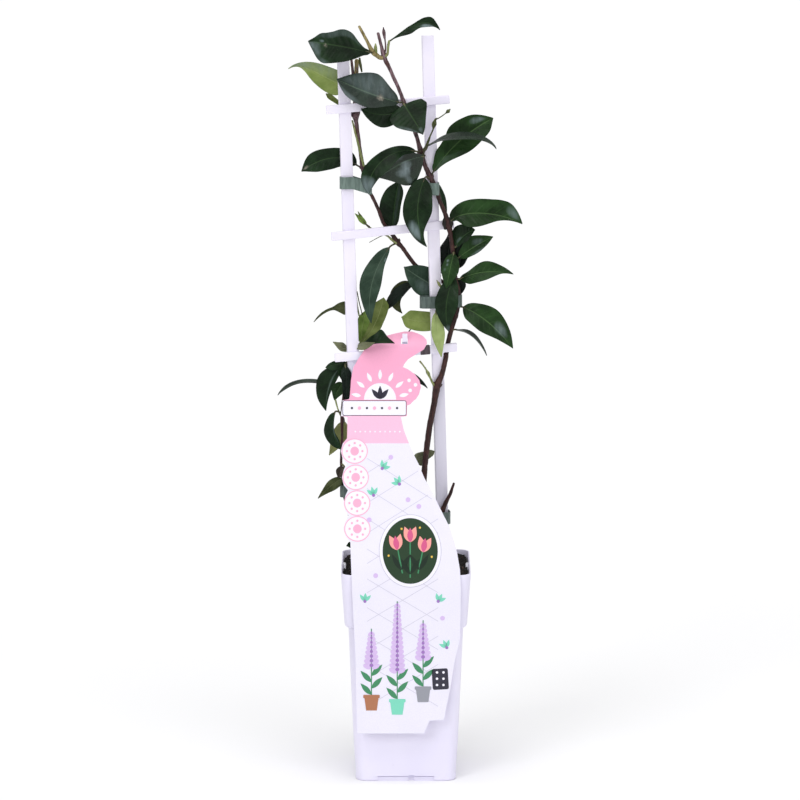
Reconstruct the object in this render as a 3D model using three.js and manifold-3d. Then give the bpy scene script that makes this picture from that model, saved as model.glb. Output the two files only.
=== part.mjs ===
// A young star jasmine in a square nursery pot, tied to a ladder trellis, with its plant card.
// Millimetres, +Z up. The origin is the centre of the pot's base, and the pot's front faces -Y.
import * as THREE from 'three';
import { mergeVertices } from 'three/addons/utils/BufferGeometryUtils.js';
import Module from 'manifold-3d';

// ---------- driving dimensions ----------

const GAP = 0.3; // left between pieces that touch

const POT_HEIGHT = 200;
const RIM_HALF = 60.5; // half the width over the collar's top edge
const COLLAR_FOOT_HALF = 57.2;
const COLLAR_BOTTOM = 148;
const BODY_TOP_HALF = 53.6;
const BODY_FOOT_HALF = 47.6;
const POT_WALL = 1.4;
const POT_CORNER_RADIUS = 11;
const POT_CORNER_STEPS = 5;
const FLOOR_UNDERSIDE = 5;
const FLOOR_TOP = 6.5;
const FOOT_RING_INNER_HALF = 40;
const FOOT_NOTCH = { width: 6.2, height: 5, offset: 6.6 }; // offset is to one side of the middle
const FOOT_PAD_RADIUS = 8; // the flat pad under the middle of the floor
const FOOT_RECESS = { width: 53, height: 6.5, depth: 1.2 };
const DRAIN_HOLE_RADIUS = 4;
const DRAIN_HOLE_RING = 30;
const LUG = { depth: 3.4, width: 9, bottom: 193.5, top: 198.8 };

const SOIL_TOP = 193;

const TRELLIS = { x: -9, y: 11, yaw: THREE.MathUtils.degToRad(10) };
const RAIL = { width: 11, depth: 5, wall: 1.6, foot: 45, lean: 0.0325 };
const RAILS = [
  { name: 'trellis_rail_left', along: -41, top: 688 },
  { name: 'trellis_rail_right', along: 39, top: 694 },
]; // along is measured on the trellis plane, at this height
const RAIL_PLACE_HEIGHT = 400;
const RUNG = { length: 116, height: 8, depth: 3 };
const RUNGS = [
  { name: 'trellis_rung_top', along: -8.5, up: 631, tiltDeg: 4 },
  { name: 'trellis_rung_middle', along: -4, up: 513.7, tiltDeg: 4.7 },
  { name: 'trellis_rung_bottom', along: -1, up: 398.5, tiltDeg: 3.5 },
];

const TAPE = { thickness: 0.5, height: 11.3, roundSteps: 8 };
// Each tie runs round two points, from and to, with an inside radius.
const TIES = [
  { name: 'tie_left_upper', from: [-58.2, 2.2], to: [-35.9, 7.3], bottom: 553, inside: 4 },
  { name: 'tie_right_upper', from: [24.6, 16.9], to: [28.2, 9.6], bottom: 545.5, inside: 6.5 },
  { name: 'tie_right_middle', from: [17, 15.6], to: [48.5, 18], bottom: 442.5, inside: 4.6 },
  { name: 'tie_right_lower', from: [34.3, 18.7], to: [36, 12.4], bottom: 238, inside: 6.6 },
  { name: 'tie_left_lower', from: [-58.8, 0.2], to: [-41.6, 5.2], bottom: 262.5, inside: 4 },
];

const CARD = { thickness: 0.6, hangs: -62.8, lean: 0.297, bendHeight: 201, bendLength: 8 };
const CARD_CURL = { from: 401, rate: 0.033 };
// The card's outline: height, left edge, right edge.
const CARD_OUTLINE = [
  [50, -45.4, 16.8], [62.3, -45.6, 22.4], [62.9, -45.6, 35.3], [91, -46.4, 41],
  [120, -46.8, 45.6], [140, -47.7, 50.2], [187, -50, 51.1], [205, -50.6, 50.2],
  [221, -51.2, 47.4], [230.5, -51.5, 44.7],
  [235, -56, 43.2], [242, -57.8, 41], [249, -56, 37.8], [254, -53.3, 35],
  [258, -56, 33], [265, -57.8, 29.4], [272, -56, 25.8], [276.5, -53.8, 23.4],
  [281, -57.6, 20.8], [288, -59.4, 16.9], [295, -57.6, 13.8], [300, -54.7, 11.8],
  [304.5, -58.6, 9.4], [311.5, -60.5, 5.7], [318.5, -58.6, 2.8], [323, -54.7, 1],
  [330, -54.5, -1.8], [342, -54.3, -4.6], [343, -60.4, -0.4], [352.5, -58.8, 1.2],
  [353.5, -58.7, 4], [357, -58.3, 7.6], [358.2, -52.4, 9.4], [362.5, -52, 12.2],
  [369, -51.5, 14.1], [375, -51.1, 12.7], [380.5, -50.2, 8.5], [385, -49.2, 2],
  [387, -48.8, -2.7], [390, -46.9, -1.3], [394, -44.6, 2], [398, -41.8, 8.5],
  [403, -38.5, 16.9], [408, -33.9, 19.7], [411, -27.8, 19.2], [414, -19.4, 16],
  [416, -10.1, 11.3], [417.5, -1.7, 5.7],
];
const CARD_SLOT = { left: -7.5, right: 2.7, bottom: 407.6, top: 412.3 };
const HOOK = { left: -3.4, right: 2 };
// The hook's side view, as depth and height.
const HOOK_OUTLINE = [
  [9, 403.6], [9, 412], [3.4, 412], [1.4, 417.4], [-0.6, 417], [0.8, 409.4], [6.8, 409.4],
  [6.8, 403.6],
];

// Stems: points along the middle, each x, y, z and radius, from the root end up.
const STEMS = {
  right: [
    [5, 2, 150, 3.2], [9, 2.5, 172, 3], [12, 3, 193, 3], [15.5, 6, 240, 2.9],
    [17.4, 8, 284, 2.8], [19.4, 9, 305, 2.8], [22.6, 10, 329, 2.8], [26.3, 11, 348, 2.8],
    [28.4, 10.8, 366, 3.4], [31, 11.4, 376, 2.6], [35, 12.6, 386.6, 2.4], [38.9, 16.4, 391.6, 2.3],
    [40, 20.5, 397.6, 2.3], [40.9, 20.6, 410, 2.4], [43.9, 19, 423, 2.4], [47, 18, 433, 2.4],
    [48.7, 18, 444, 2.4], [48.6, 17, 455, 2.6], [46.6, 15, 466, 2.3], [44.7, 13, 489, 2.3],
    [42.8, 10.6, 504, 2.3], [40.4, 9.6, 518, 3.5], [36.3, 9.6, 530, 2.1], [31.6, 9.8, 541, 2.1],
    [28.2, 9.6, 551, 2.1], [23.2, 9, 562, 2.6], [17.7, 8.5, 574, 2.1], [14, 8, 586, 2.7],
    [11.2, 7, 597, 1.9], [8.4, 5, 606, 1.9], [-1.8, 3, 633, 2.1], [-5.4, 2.5, 643, 1.7],
    [-13.8, 1.5, 662, 1.7], [-20.2, 1, 676, 2.2], [-23, 0.5, 687, 1.5], [-25.7, 0, 697.5, 1.4],
  ],
  left: [
    [46, 19.4, 457, 1.9], [38, 27, 460.4, 1.9], [27, 29, 466, 1.9], [18, 25, 472, 1.9],
    [8.5, 17, 480, 1.9], [-3.6, 13, 497, 1.9], [-8.2, 12.4, 501.5, 2.6], [-11.9, 12, 509, 1.9],
    [-18.5, 11, 519, 1.8], [-24, 10, 533, 1.8], [-28.6, 9, 543, 1.8], [-33.9, 7.8, 552, 1.8],
    [-36.9, 7, 562, 1.8], [-39.7, 6.6, 572, 2.3], [-42.5, 6.4, 589, 1.7], [-44.3, 6.2, 603, 1.7],
    [-46.1, 6.2, 617, 1.7], [-47, 6.2, 625, 3], [-47.6, 6, 640, 1.7], [-47.9, 6, 660, 1.7],
    [-47.9, 6, 671.6, 1.6],
  ],
  low: [
    [-49, -3.4, 150, 1.9], [-49.6, -3.4, 180, 1.9], [-51.6, -3.2, 200, 1.8], [-56, -2, 235, 1.6],
    [-59.4, -0.6, 262, 1.4], [-60, 0, 281, 1.4], [-60.6, 1, 298, 1.4], [-59.7, 3, 317, 1.4],
    [-59.7, 4.4, 340, 1.9], [-57.8, 6.5, 360, 1.4], [-55, 10, 380, 1.4], [-53.5, 12, 400, 1.4],
    [-53, 12.6, 425, 1.4], [-53, 12.6, 446, 1.2],
  ],
  cut: [
    [25, 8, 160, 2.3], [28, 9, 193, 2.3], [32, 11, 222, 2.3], [36, 12.4, 244, 2.3],
    [40, 12.4, 258, 1.8], [45.4, 11, 276, 1],
  ],
  topTwig: [
    [-20.4, 1, 676, 1.5], [-23, 0, 674.4, 1.6], [-27.5, -1, 677.6, 1.6], [-31, -2, 680.4, 1.8],
    [-37, -2.4, 692, 1.2], [-43, -2.6, 704.5, 1],
  ],
  budStalk: [
    [-20, 1.6, 676.6, 0.9], [-18.8, 3.4, 683, 0.7], [-19.2, 3.6, 691, 0.6], [-19.6, 3.6, 694, 1.3],
    [-20, 3.6, 698, 1.7], [-20.3, 3.6, 703, 0.5],
  ],
  twigBud: [[-27.4, -1, 677.6, 1.2], [-28, -1.6, 684, 1.6], [-28, -1.6, 688, 0.6]],
  sideShoot: [
    [14, 7.6, 587, 1.2], [17.7, 7.2, 589, 1.3], [21.4, 5.6, 596, 1.2], [25.1, 5, 607, 0.9],
    [26, 4.6, 612, 1.7], [28.6, 4.4, 616.6, 0.8], [34, 4, 623, 0.7], [37.6, 3.8, 626.4, 1.6],
    [39.4, 3.6, 628, 0.6],
  ],
  nodeShoot: [
    [28, 10.6, 366, 1.4], [25.4, 8.4, 371, 1.1], [20.7, 6.6, 379, 1.2], [17, 5.8, 386, 0.8],
    [13.4, 5.2, 391, 0.9],
  ],
  paleShoot: [
    [-39.4, 5.6, 574, 1.4], [-42.9, 5, 589, 1.1], [-46.6, 5, 604, 1], [-49.6, 6.4, 616, 0.8],
  ],
  leafShoot: [
    [-8.6, 12, 502, 1.2], [-17, 12.6, 505, 0.9], [-26, 13, 509.4, 0.8], [-35.6, 12, 517, 0.8],
  ],
};
const STEM_SIDES = 8;
const STEPS_PER_SPAN = 2;

// Leaves by the stem that they grow on: height of the joint on the stem; the midrib's Bezier
// points from the blade's base to its tip; the width, or the half widths on the right and on the
// left at a fifth, a half and four fifths of the blade; the way that the upper face looks; and
// the fold in degrees.
const LEAVES = {
  right: [
    [268, [[6.5, 13, 296], [15, 16.5, 297], [27, 13.5, 303.5]],
      [[3, 8, 4.5], [4, 4.5, 3.4]], [0, -1, -0.1], 4],
    [417, [[47, 17, 418.6], [69, 12, 420], [76, 8, 396.4]], 17, [0.4, 0.03, 0.91], 8],
    [432, [[37.7, 24, 428.7], [17, 28, 421], [-4.2, 4, 434]],
      [[7.4, 9.6, 7.3], [7.4, 8.6, 6.2]], [0, -0.95, 0.2], 8],
    [440, [[28.2, 6.4, 436.3], [29.5, 3.6, 417.4], [33.2, 6.5, 394]], 12.6, [0.1, -0.97, 0.1], 14],
    [440, [[53.5, 14, 440.2], [76, 4, 433.3], [100.2, 8, 402.2]],
      [[10.7, 12.5, 5.6], [9.4, 14.2, 8.9]], [0.05, -0.9, 0.42], 10],
    [467, [[50.5, 14, 467], [73.4, 8, 478.5], [100.4, 12, 471.7]],
      [[9.3, 8.4, 1.6], [4.2, 10.2, 5.6]], [0, -0.9, 0.42], 10],
    [470, [[45, 9, 469.5], [33, -1, 444], [40, 3, 419]], 22, [0, -0.98, 0.1], 12],
    [491, [[44.4, 7.6, 491.6], [41, 4.4, 477], [37.5, 4, 459]], 17, [0, -0.97, 0.15], 14],
    [487, [[49.4, 11, 487.6], [63.4, 7, 498.9], [81.2, 8, 507.5]],
      [[5, 5.3, 3.3], [6.5, 10.5, 5.5]], [-0.1, -0.9, 0.4], 12],
    [478, [[49, 16, 478], [55, 17, 487], [60, 17, 494]], 13, [-0.3, -0.9, 0.2], 6],
    [497, [[48.2, 12.4, 499], [52, 12.4, 510], [59.7, 12, 520.7]],
      [[7, 8.4, 5], [7, 8.4, 5]], [-0.3, -0.9, 0.3], 8],
    [512, [[40.4, 18.6, 507], [29, 27.6, 487], [35.6, 25.4, 469]], 22, [0, -1, 0.1], -5],
    [519, [[43.8, 8, 524], [59.6, 4, 535.4], [87.4, 3, 532], [108.2, 6, 519.8]],
      [[10.6, 12.6, 4.4], [9.6, 12.4, 10.5]], [0, -0.95, 0.3], 8],
    [524, [[37.6, 17.5, 529], [36.6, 22, 543], [31.6, 22, 556.5]], 9, [0.95, -0.3, 0], 6],
    [560, [[17.6, 3.6, 563], [8.4, -8, 543.8], [8.5, -10, 519.8], [19.5, -4, 499.5]],
      [[10.8, 14, 8], [11.6, 13.2, 2.7]], [0, -0.96, 0.2], 8],
    [562, [[25.6, 10, 568], [47, 12, 600.3], [81, 14, 617.7]],
      [[6, 14, 11.6], [9.5, 16.3, 11]], [-0.15, -0.95, 0.2], 8],
    [585, [[9.6, -1, 584.5], [0.4, -18, 568.4], [-21, -10, 564]],
      [[8.6, 14, 7.5], [11, 14.8, 7.5]], [0, -0.95, 0.3], -8],
    [588, [[9, -3, 588.6], [-12.8, -20, 595.3], [-36.7, -27, 577.5], [-34.2, -21, 550.5]],
      [[5.2, 7.5, 9], [4.6, 10.2, 5.5]], [-0.2, -0.93, 0.3], 10],
    [579, [[20.7, -0.5, 593.8], [36, -8, 605], [73, -14, 607.6], [83.7, -14, 592]],
      26, [0, -0.06, 1], 6],
    [632, [[-1.6, -3.4, 632], [6.5, -16, 620.8], [15.7, -24, 606.5]],
      [[14.5, 15.3, 7.5], [13.5, 14.5, 6.5]], [0.1, -0.85, 0.5], 6],
    [634, [[-6.4, -2.4, 634], [-30, -13, 640], [-63.7, -11, 656.3]],
      [[11.1, 19.4, 12.5], [6.5, 13.5, 11]], [-0.05, -0.95, 0.3], 8],
    [625, [[-3, -0.4, 627], [-26, -7.4, 617], [-52, -6.4, 633]], 24, [0, -0.99, 0.12], 6],
    [677, [[-15.2, -1.4, 690.4], [-1.8, -3, 699.8], [16.6, -6, 717.5], [31.4, -6, 701]],
      [[2, 3.8, 3.2], [1, 2.3, 4.7]], [-0.1, -0.9, 0.4], 14],
  ],
  topTwig: [
    [680, [[-32.8, -5, 680.2], [-65, -13, 688.6], [-90, -13, 691.4]],
      [[7.4, 12.8, 6.7], [10.5, 17.5, 14.5]], [0, -0.95, 0.3], 10],
  ],
  left: [
    [477, [[6, 19, 461], [-9.8, 19, 455], [-20.4, 16, 436.5]],
      [[5, 6, 4.5], [5, 6, 4.5]], [-0.4, -0.85, 0.2], 6],
    [501, [[-15.4, 8, 497.3], [-39.4, -4, 466], [-32.2, -2, 427.4]],
      [[8.4, 11.5, 5.6], [5.1, 8.9, 4.9]], [-0.1, -0.97, 0.1], 10],
    [505, [[-12.6, 17.6, 513.4], [-11, 21, 536], [-6.4, 18, 558.5]],
      [[5.5, 5.8, 6], [8.5, 13, 10]], [0, -1, 0], 8],
    [572, [[-46, 9.8, 574.5], [-67.7, 15, 589.6], [-97, 11, 568.2]],
      [[8.8, 9.4, 9.5], [6.5, 10.6, 8.8]], [0, -0.97, 0.2], 8],
    [650, [[-51, 9.8, 648], [-75, 15, 649], [-90.5, 16, 673], [-109, 14, 663.3]],
      [[11, 9, 3.7], [12.5, 9.3, 1]], [0, -0.97, 0.2], 8],
    [459, [[33, 24.8, 455.6], [14.6, 26.4, 464], [-1.6, 4, 479.5]],
      [[10, 13, 8.4], [7, 10, 7]], [0.15, -0.98, 0.05], 6],
    [476, [[4, 25, 462], [-14, 28, 452], [-3.4, 20, 433.4]],
      [[6, 8, 6], [4, 4, 1.4]], [0, -1, 0.1], 6],
  ],
  low: [
    [339, [[-58, 8, 333], [-61, 11, 318], [-72, 9, 301]], 14, [0, -0.95, 0.2], 8],
    [341, [[-66.4, 2, 342.5], [-72, -3, 325], [-60.8, -5, 308.6]],
      [[6, 9, 6], [1, 1.2, 3]], [0, -0.95, 0.3], 10],
    [376, [[-63, 9, 372], [-68, 8.2, 366], [-71.4, 7, 354]], 13, [0.1, -0.9, 0.4], 10],
    [358, [[-70, -1, 368.6], [-102, -14, 381], [-120, -16, 361.6]], 18, [0, -0.02, 1], 4],
    [386, [[-61, 11.4, 388], [-84, 16, 369], [-75.6, 14, 344]], 15, [-0.2, -0.9, 0.35], 10],
    [408, [[-41.8, 8.8, 405.4], [-33, -20, 414.6], [-10.4, -9, 409.8]],
      [[4.6, 3, 1.8], [2.4, 6.4, 7.4]], [0, -0.9, 0.4], 6],
    [404, [[-43.4, 14.4, 407], [-36, 16, 430], [-46.5, 16, 458]],
      [[5, 7.3, 1.8], [5, 5, 2]], [-0.1, -0.99, 0.1], 6],
    [411, [[-44, 11, 407], [-27, 9, 421], [-16.6, 9, 451.5]],
      [[4.6, 6.6, 5], [2.4, 4.6, 5.4]], [0.25, -0.95, -0.2], 6],
    [424, [[-50.5, 15.5, 437.5], [-72, 14, 445], [-85, 9, 428.6]],
      [[6.4, 2.6, 1.4], [5.6, 2.4, 1.4]], [0, -0.95, 0.3], 6],
  ],
};
// Leaflets and leaf tips, which are joined to their stems.
const SMALL_LEAVES = {
  right: [
    [462, [[52, 16.5, 462], [54.5, 17.4, 458], [56, 18, 453.6]], 9, [0, -0.9, 0.3], 6],
  ],
  left: [
    [625, [[-54, 9.6, 627.6], [-64, 12, 633], [-74.7, 12, 635]], 7, [0, -0.9, 0.4], 14],
  ],
  leafShoot: [
    [516, [[-38, 11, 519.6], [-42, 10, 525], [-48.2, 9, 529]], 5, [-0.3, -0.9, 0.3], 14],
  ],
  low: [
    [281, [[-62.6, -2.6, 278.6], [-70, -4, 277], [-82.4, -6, 262]], 12, [0, -0.8, 0.6], 12],
    [376, [[-57.6, -0.6, 385], [-56.4, -2.4, 372], [-58.6, -2, 356]], 9, [0.3, -0.95, 0], 12],
    [208, [[-54.4, -3.6, 213], [-57, -6.4, 215.4], [-60.4, -9.4, 216.4]], 8, [0, -0.9, 0.4], 8],
    [294, [[-63.4, -2, 290], [-66, -3, 285], [-66.4, -3.6, 280.8]], 7, [0, -0.95, 0.2], 10],
    [403, [[-59, 11.4, 402], [-63, 9, 405.6], [-68, 7, 409.4]], 7, [0, -0.7, 0.7], 8],
    [392, [[-61, 9.6, 390.6], [-71, 7, 390], [-78.3, 4, 379]], 9, [0, -0.8, 0.6], 10],
  ],
};
const PLAIN_LEAF = [0.78, 1, 0.5]; // half widths as shares, where only a width is given
const PROFILE_PLACES = [0.2, 0.5, 0.8];
const LEAF_STEPS = 11;
const LEAF_THICKNESS = { base: 1.35, tip: 0.36 };
const TIP_HALF_WIDTH = 0.3;
const PETIOLE = { halfWidth: 0.8, thickness: 1.5 };

// ---------- materials ----------

function plastic(color, roughness = 0.4) {
  return new THREE.MeshStandardMaterial({ color, roughness, metalness: 0 });
}

const potPlastic = () => plastic(0xece8fa, 0.35);
const trellisPlastic = () => plastic(0xf2ecfc, 0.38);
const cardPlastic = () => plastic(0xf4dcec, 0.3);
const tapePlastic = () => plastic(0x6e827a, 0.6);
const earth = () => plastic(0x1c1512, 0.95);
const bark = () => plastic(0x3a2422, 0.7);
const leafGreen = () => plastic(0x24402a, 0.3);

// ---------- general helpers ----------

function addPart(parent, name, geometry, material) {
  const mesh = new THREE.Mesh(geometry, material);
  mesh.name = name;
  parent.add(mesh);
}

function signedVolume(positions, index) {
  const [a, b, c] = [new THREE.Vector3(), new THREE.Vector3(), new THREE.Vector3()];
  let volume = 0;
  for (let i = 0; i < index.length; i += 3) {
    a.fromArray(positions, index[i] * 3);
    b.fromArray(positions, index[i + 1] * 3);
    c.fromArray(positions, index[i + 2] * 3);
    volume += a.dot(b.cross(c));
  }
  return volume;
}

// A closed solid through a row of rings that all have the same number of points.
function loft(rings) {
  const sides = rings[0].length;
  const positions = rings.flat().flatMap((p) => [p.x, p.y, p.z]);
  const index = [];
  for (let r = 0; r + 1 < rings.length; r += 1) {
    for (let s = 0; s < sides; s += 1) {
      const a = r * sides + s;
      const b = r * sides + ((s + 1) % sides);
      index.push(a, b, b + sides, a, b + sides, a + sides);
    }
  }
  const last = (rings.length - 1) * sides;
  for (let s = 1; s + 1 < sides; s += 1) {
    index.push(0, s + 1, s);
    index.push(last, last + s, last + s + 1);
  }
  if (signedVolume(positions, index) < 0) {
    index.reverse();
  }
  const geometry = new THREE.BufferGeometry();
  geometry.setAttribute('position', new THREE.Float32BufferAttribute(positions, 3));
  geometry.setIndex(index);
  return geometry;
}

// ---------- cutting and joining ----------

const wasm = await Module();
wasm.setup();

function toSolid(geometry) {
  const bare = geometry.clone();
  bare.deleteAttribute('normal');
  bare.deleteAttribute('uv');
  const merged = mergeVertices(bare, 1e-5);
  return new wasm.Manifold(new wasm.Mesh({
    numProp: 3,
    vertProperties: new Float32Array(merged.getAttribute('position').array),
    triVerts: new Uint32Array(merged.index.array),
  }));
}

function toGeometry(solid) {
  const mesh = solid.getMesh();
  const geometry = new THREE.BufferGeometry();
  geometry.setAttribute('position', new THREE.BufferAttribute(mesh.vertProperties, 3));
  geometry.setIndex(new THREE.BufferAttribute(mesh.triVerts, 1));
  return geometry;
}

function cut(geometry, cutters) {
  const result = cutters.reduce((solid, cutter) => solid.subtract(toSolid(cutter)), toSolid(geometry));
  return toGeometry(result);
}

function join(geometries) {
  const [first, ...others] = geometries.map(toSolid);
  return toGeometry(others.reduce((solid, other) => solid.add(other), first));
}

function box(low, high) {
  const size = high.map((value, i) => value - low[i]);
  const centre = high.map((value, i) => (value + low[i]) / 2);
  return new THREE.BoxGeometry(...size).translate(...centre);
}

// ---------- pot and soil ----------

function roundedSquareRing(half, radius, z) {
  const ring = [];
  for (let corner = 0; corner < 4; corner += 1) {
    const turn = (corner * Math.PI) / 2;
    for (let step = 0; step <= POT_CORNER_STEPS; step += 1) {
      const angle = turn + (step / POT_CORNER_STEPS) * (Math.PI / 2);
      const cx = (half - radius) * (corner === 0 || corner === 3 ? 1 : -1);
      const cy = (half - radius) * (corner < 2 ? 1 : -1);
      ring.push(new THREE.Vector3(cx + radius * Math.cos(angle), cy + radius * Math.sin(angle), z));
    }
  }
  return ring;
}

function squareLoft(rows) {
  return loft(rows.map(([half, z]) => roundedSquareRing(half, Math.min(POT_CORNER_RADIUS, half / 3), z)));
}

const POT_OUTSIDE = [
  [42.4, 0], [45, 1.2], [46.8, 3.2], [BODY_FOOT_HALF, 6.5], [BODY_TOP_HALF, COLLAR_BOTTOM - 0.02],
  [COLLAR_FOOT_HALF - 2.4, COLLAR_BOTTOM], [COLLAR_FOOT_HALF - 0.6, COLLAR_BOTTOM + 1.6],
  [COLLAR_FOOT_HALF, COLLAR_BOTTOM + 4.5], [RIM_HALF, POT_HEIGHT],
];

function potInside(clearance) {
  const wall = POT_WALL + clearance;
  return [
    [BODY_FOOT_HALF - wall - 2, FLOOR_TOP + clearance],
    [BODY_FOOT_HALF - wall + 0.2, FLOOR_TOP + clearance + 4],
    [BODY_TOP_HALF - wall, COLLAR_BOTTOM + 1 + clearance],
    [COLLAR_FOOT_HALF - wall, COLLAR_BOTTOM + 5 + clearance],
  ];
}

function rimInside(clearance, height) {
  const rise = (height - COLLAR_BOTTOM) / (POT_HEIGHT - COLLAR_BOTTOM);
  return [COLLAR_FOOT_HALF + (RIM_HALF - COLLAR_FOOT_HALF) * rise - POT_WALL - clearance, height];
}

function footCutters() {
  const reach = BODY_FOOT_HALF + 5;
  const { width, height, offset } = FOOT_NOTCH;
  const [near, far] = [offset - width / 2, offset + width / 2];
  const halfRecess = FOOT_RECESS.width / 2;
  const recessFace = BODY_FOOT_HALF - FOOT_RECESS.depth;
  const cutters = [
    box([near, -reach, -1], [far, reach, height]),
    box([-reach, near, -1], [reach, far, height]),
  ];
  for (let side = 0; side < 4; side += 1) {
    const recess = box([-halfRecess, -reach, -1], [halfRecess, -recessFace, FOOT_RECESS.height]);
    cutters.push(recess.rotateZ((side * Math.PI) / 2));
  }
  return cutters;
}

function drainHoles() {
  const holes = [];
  for (let i = 0; i < 8; i += 1) {
    const hole = new THREE.CylinderGeometry(DRAIN_HOLE_RADIUS, DRAIN_HOLE_RADIUS, 10, 12);
    hole.rotateX(Math.PI / 2);
    const angle = (i * Math.PI) / 4;
    const reach = i % 2 ? DRAIN_HOLE_RING * 1.2 : DRAIN_HOLE_RING;
    hole.translate(reach * Math.cos(angle), reach * Math.sin(angle), (FLOOR_UNDERSIDE + FLOOR_TOP) / 2);
    holes.push(hole);
  }
  return holes;
}

function footPad() {
  const height = (FLOOR_UNDERSIDE + FLOOR_TOP) / 2;
  const pad = new THREE.CylinderGeometry(FOOT_PAD_RADIUS, FOOT_PAD_RADIUS, height, 24);
  return pad.rotateX(Math.PI / 2).translate(0, 0, height / 2);
}

function buildPot() {
  const hollow = squareLoft([...potInside(0), rimInside(0, POT_HEIGHT + 1)]);
  const under = squareLoft([
    [FOOT_RING_INNER_HALF, -1], [FOOT_RING_INNER_HALF + 1, FLOOR_UNDERSIDE],
  ]);
  const shell = cut(squareLoft(POT_OUTSIDE), [hollow, under, ...footCutters(), ...drainHoles()]);
  const lugs = [-1, 1].map((side) => {
    const [wallInside] = rimInside(0, LUG.bottom);
    const inner = wallInside - LUG.depth;
    const outer = wallInside + 0.6;
    const xs = side < 0 ? [-outer, -inner] : [inner, outer];
    return box([xs[0], -LUG.width / 2, LUG.bottom], [xs[1], LUG.width / 2, LUG.top]);
  });
  return join([shell, footPad(), ...lugs]);
}

function buildSoil(cutters) {
  const block = squareLoft([...potInside(GAP), rimInside(GAP, SOIL_TOP)]);
  return cut(block, cutters);
}

// ---------- trellis ----------

// A U-shaped channel, open at the back, with a pointed foot; grow makes it fatter as a cutter.
function railGeometry(rail, grow = 0) {
  const half = RAIL.width / 2 + grow;
  const front = -RAIL.depth / 2 - grow;
  const back = RAIL.depth / 2 + grow;
  const outline = new THREE.Shape();
  outline.moveTo(-half, back);
  outline.lineTo(-half, front + 0.8);
  outline.lineTo(-half + 0.8, front);
  outline.lineTo(half - 0.8, front);
  outline.lineTo(half, front + 0.8);
  outline.lineTo(half, back);
  if (grow === 0) {
    outline.lineTo(half - RAIL.wall, back);
    outline.lineTo(half - RAIL.wall, front + RAIL.wall);
    outline.lineTo(-half + RAIL.wall, front + RAIL.wall);
    outline.lineTo(-half + RAIL.wall, back);
  }
  outline.closePath();
  const bottom = RAIL.foot - grow;
  const length = rail.top + grow - bottom;
  const channel = new THREE.ExtrudeGeometry(outline, { depth: length, bevelEnabled: false });
  channel.translate(0, 0, bottom - RAIL_PLACE_HEIGHT);
  channel.rotateY(-Math.atan(RAIL.lean));
  channel.translate(rail.along, 0, RAIL_PLACE_HEIGHT);
  return channel;
}

function rungGeometry({ along, up, tiltDeg }) {
  const half = RUNG.height / 2;
  const outline = new THREE.Shape();
  outline.moveTo(-RUNG.depth / 2, -half + 0.6);
  outline.lineTo(-RUNG.depth / 2 + 0.6, -half);
  outline.lineTo(RUNG.depth / 2, -half);
  outline.lineTo(RUNG.depth / 2, half);
  outline.lineTo(-RUNG.depth / 2 + 0.6, half);
  outline.lineTo(-RUNG.depth / 2, half - 0.6);
  outline.closePath();
  const strip = new THREE.ExtrudeGeometry(outline, { depth: RUNG.length, bevelEnabled: false });
  strip.translate(0, 0, -RUNG.length / 2);
  strip.rotateX(Math.PI / 2);
  strip.rotateZ(Math.PI / 2);
  strip.rotateY(-THREE.MathUtils.degToRad(tiltDeg));
  strip.translate(along, -(RAIL.depth + RUNG.depth) / 2 - GAP, up);
  return strip;
}

function placeOnTrellis(geometry) {
  return geometry.rotateZ(TRELLIS.yaw).translate(TRELLIS.x, TRELLIS.y, 0);
}

function addTrellis(parent) {
  const frame = new THREE.Group();
  frame.position.set(TRELLIS.x, TRELLIS.y, 0);
  frame.rotation.z = TRELLIS.yaw;
  parent.add(frame);
  for (const rail of RAILS) {
    addPart(frame, rail.name, railGeometry(rail), trellisPlastic());
  }
  for (const rung of RUNGS) {
    addPart(frame, rung.name, rungGeometry(rung), trellisPlastic());
  }
}

// ---------- tape ties ----------

function loopPath(path, from, to, radius) {
  const angle = Math.atan2(to[1] - from[1], to[0] - from[0]);
  path.absarc(to[0], to[1], radius, angle - Math.PI / 2, angle + Math.PI / 2, false);
  path.absarc(from[0], from[1], radius, angle + Math.PI / 2, angle + Math.PI * 1.5, false);
  path.closePath();
}

function tieGeometry({ from, to, bottom, inside }) {
  const outline = new THREE.Shape();
  loopPath(outline, from, to, inside + TAPE.thickness);
  const hole = new THREE.Path();
  loopPath(hole, from, to, inside);
  outline.holes.push(hole);
  const options = { depth: TAPE.height, bevelEnabled: false, curveSegments: TAPE.roundSteps };
  return new THREE.ExtrudeGeometry(outline, options).translate(0, 0, bottom);
}

// ---------- plant card and its hook ----------

// How far forward the card's middle lies at a height: hanging, bending over the rim, leaning
// back to the trellis, and curling back at the head.
function cardDepth(z) {
  const { hangs, lean, bendHeight, bendLength } = CARD;
  const rise = bendLength * Math.log1p(Math.exp((z - bendHeight) / bendLength));
  const curl = CARD_CURL.rate * Math.max(0, z - CARD_CURL.from) ** 2;
  return hangs + lean * rise + curl;
}

function cardSlope(z) {
  return (cardDepth(z + 0.5) - cardDepth(z - 0.5));
}

function cardRing([z, left, right]) {
  const slope = cardSlope(z);
  const scale = CARD.thickness / 2 / Math.hypot(1, slope);
  const [dy, dz] = [scale, -slope * scale];
  const y = cardDepth(z);
  return [
    new THREE.Vector3(left, y - dy, z - dz), new THREE.Vector3(right, y - dy, z - dz),
    new THREE.Vector3(right, y + dy, z + dz), new THREE.Vector3(left, y + dy, z + dz),
  ];
}

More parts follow.
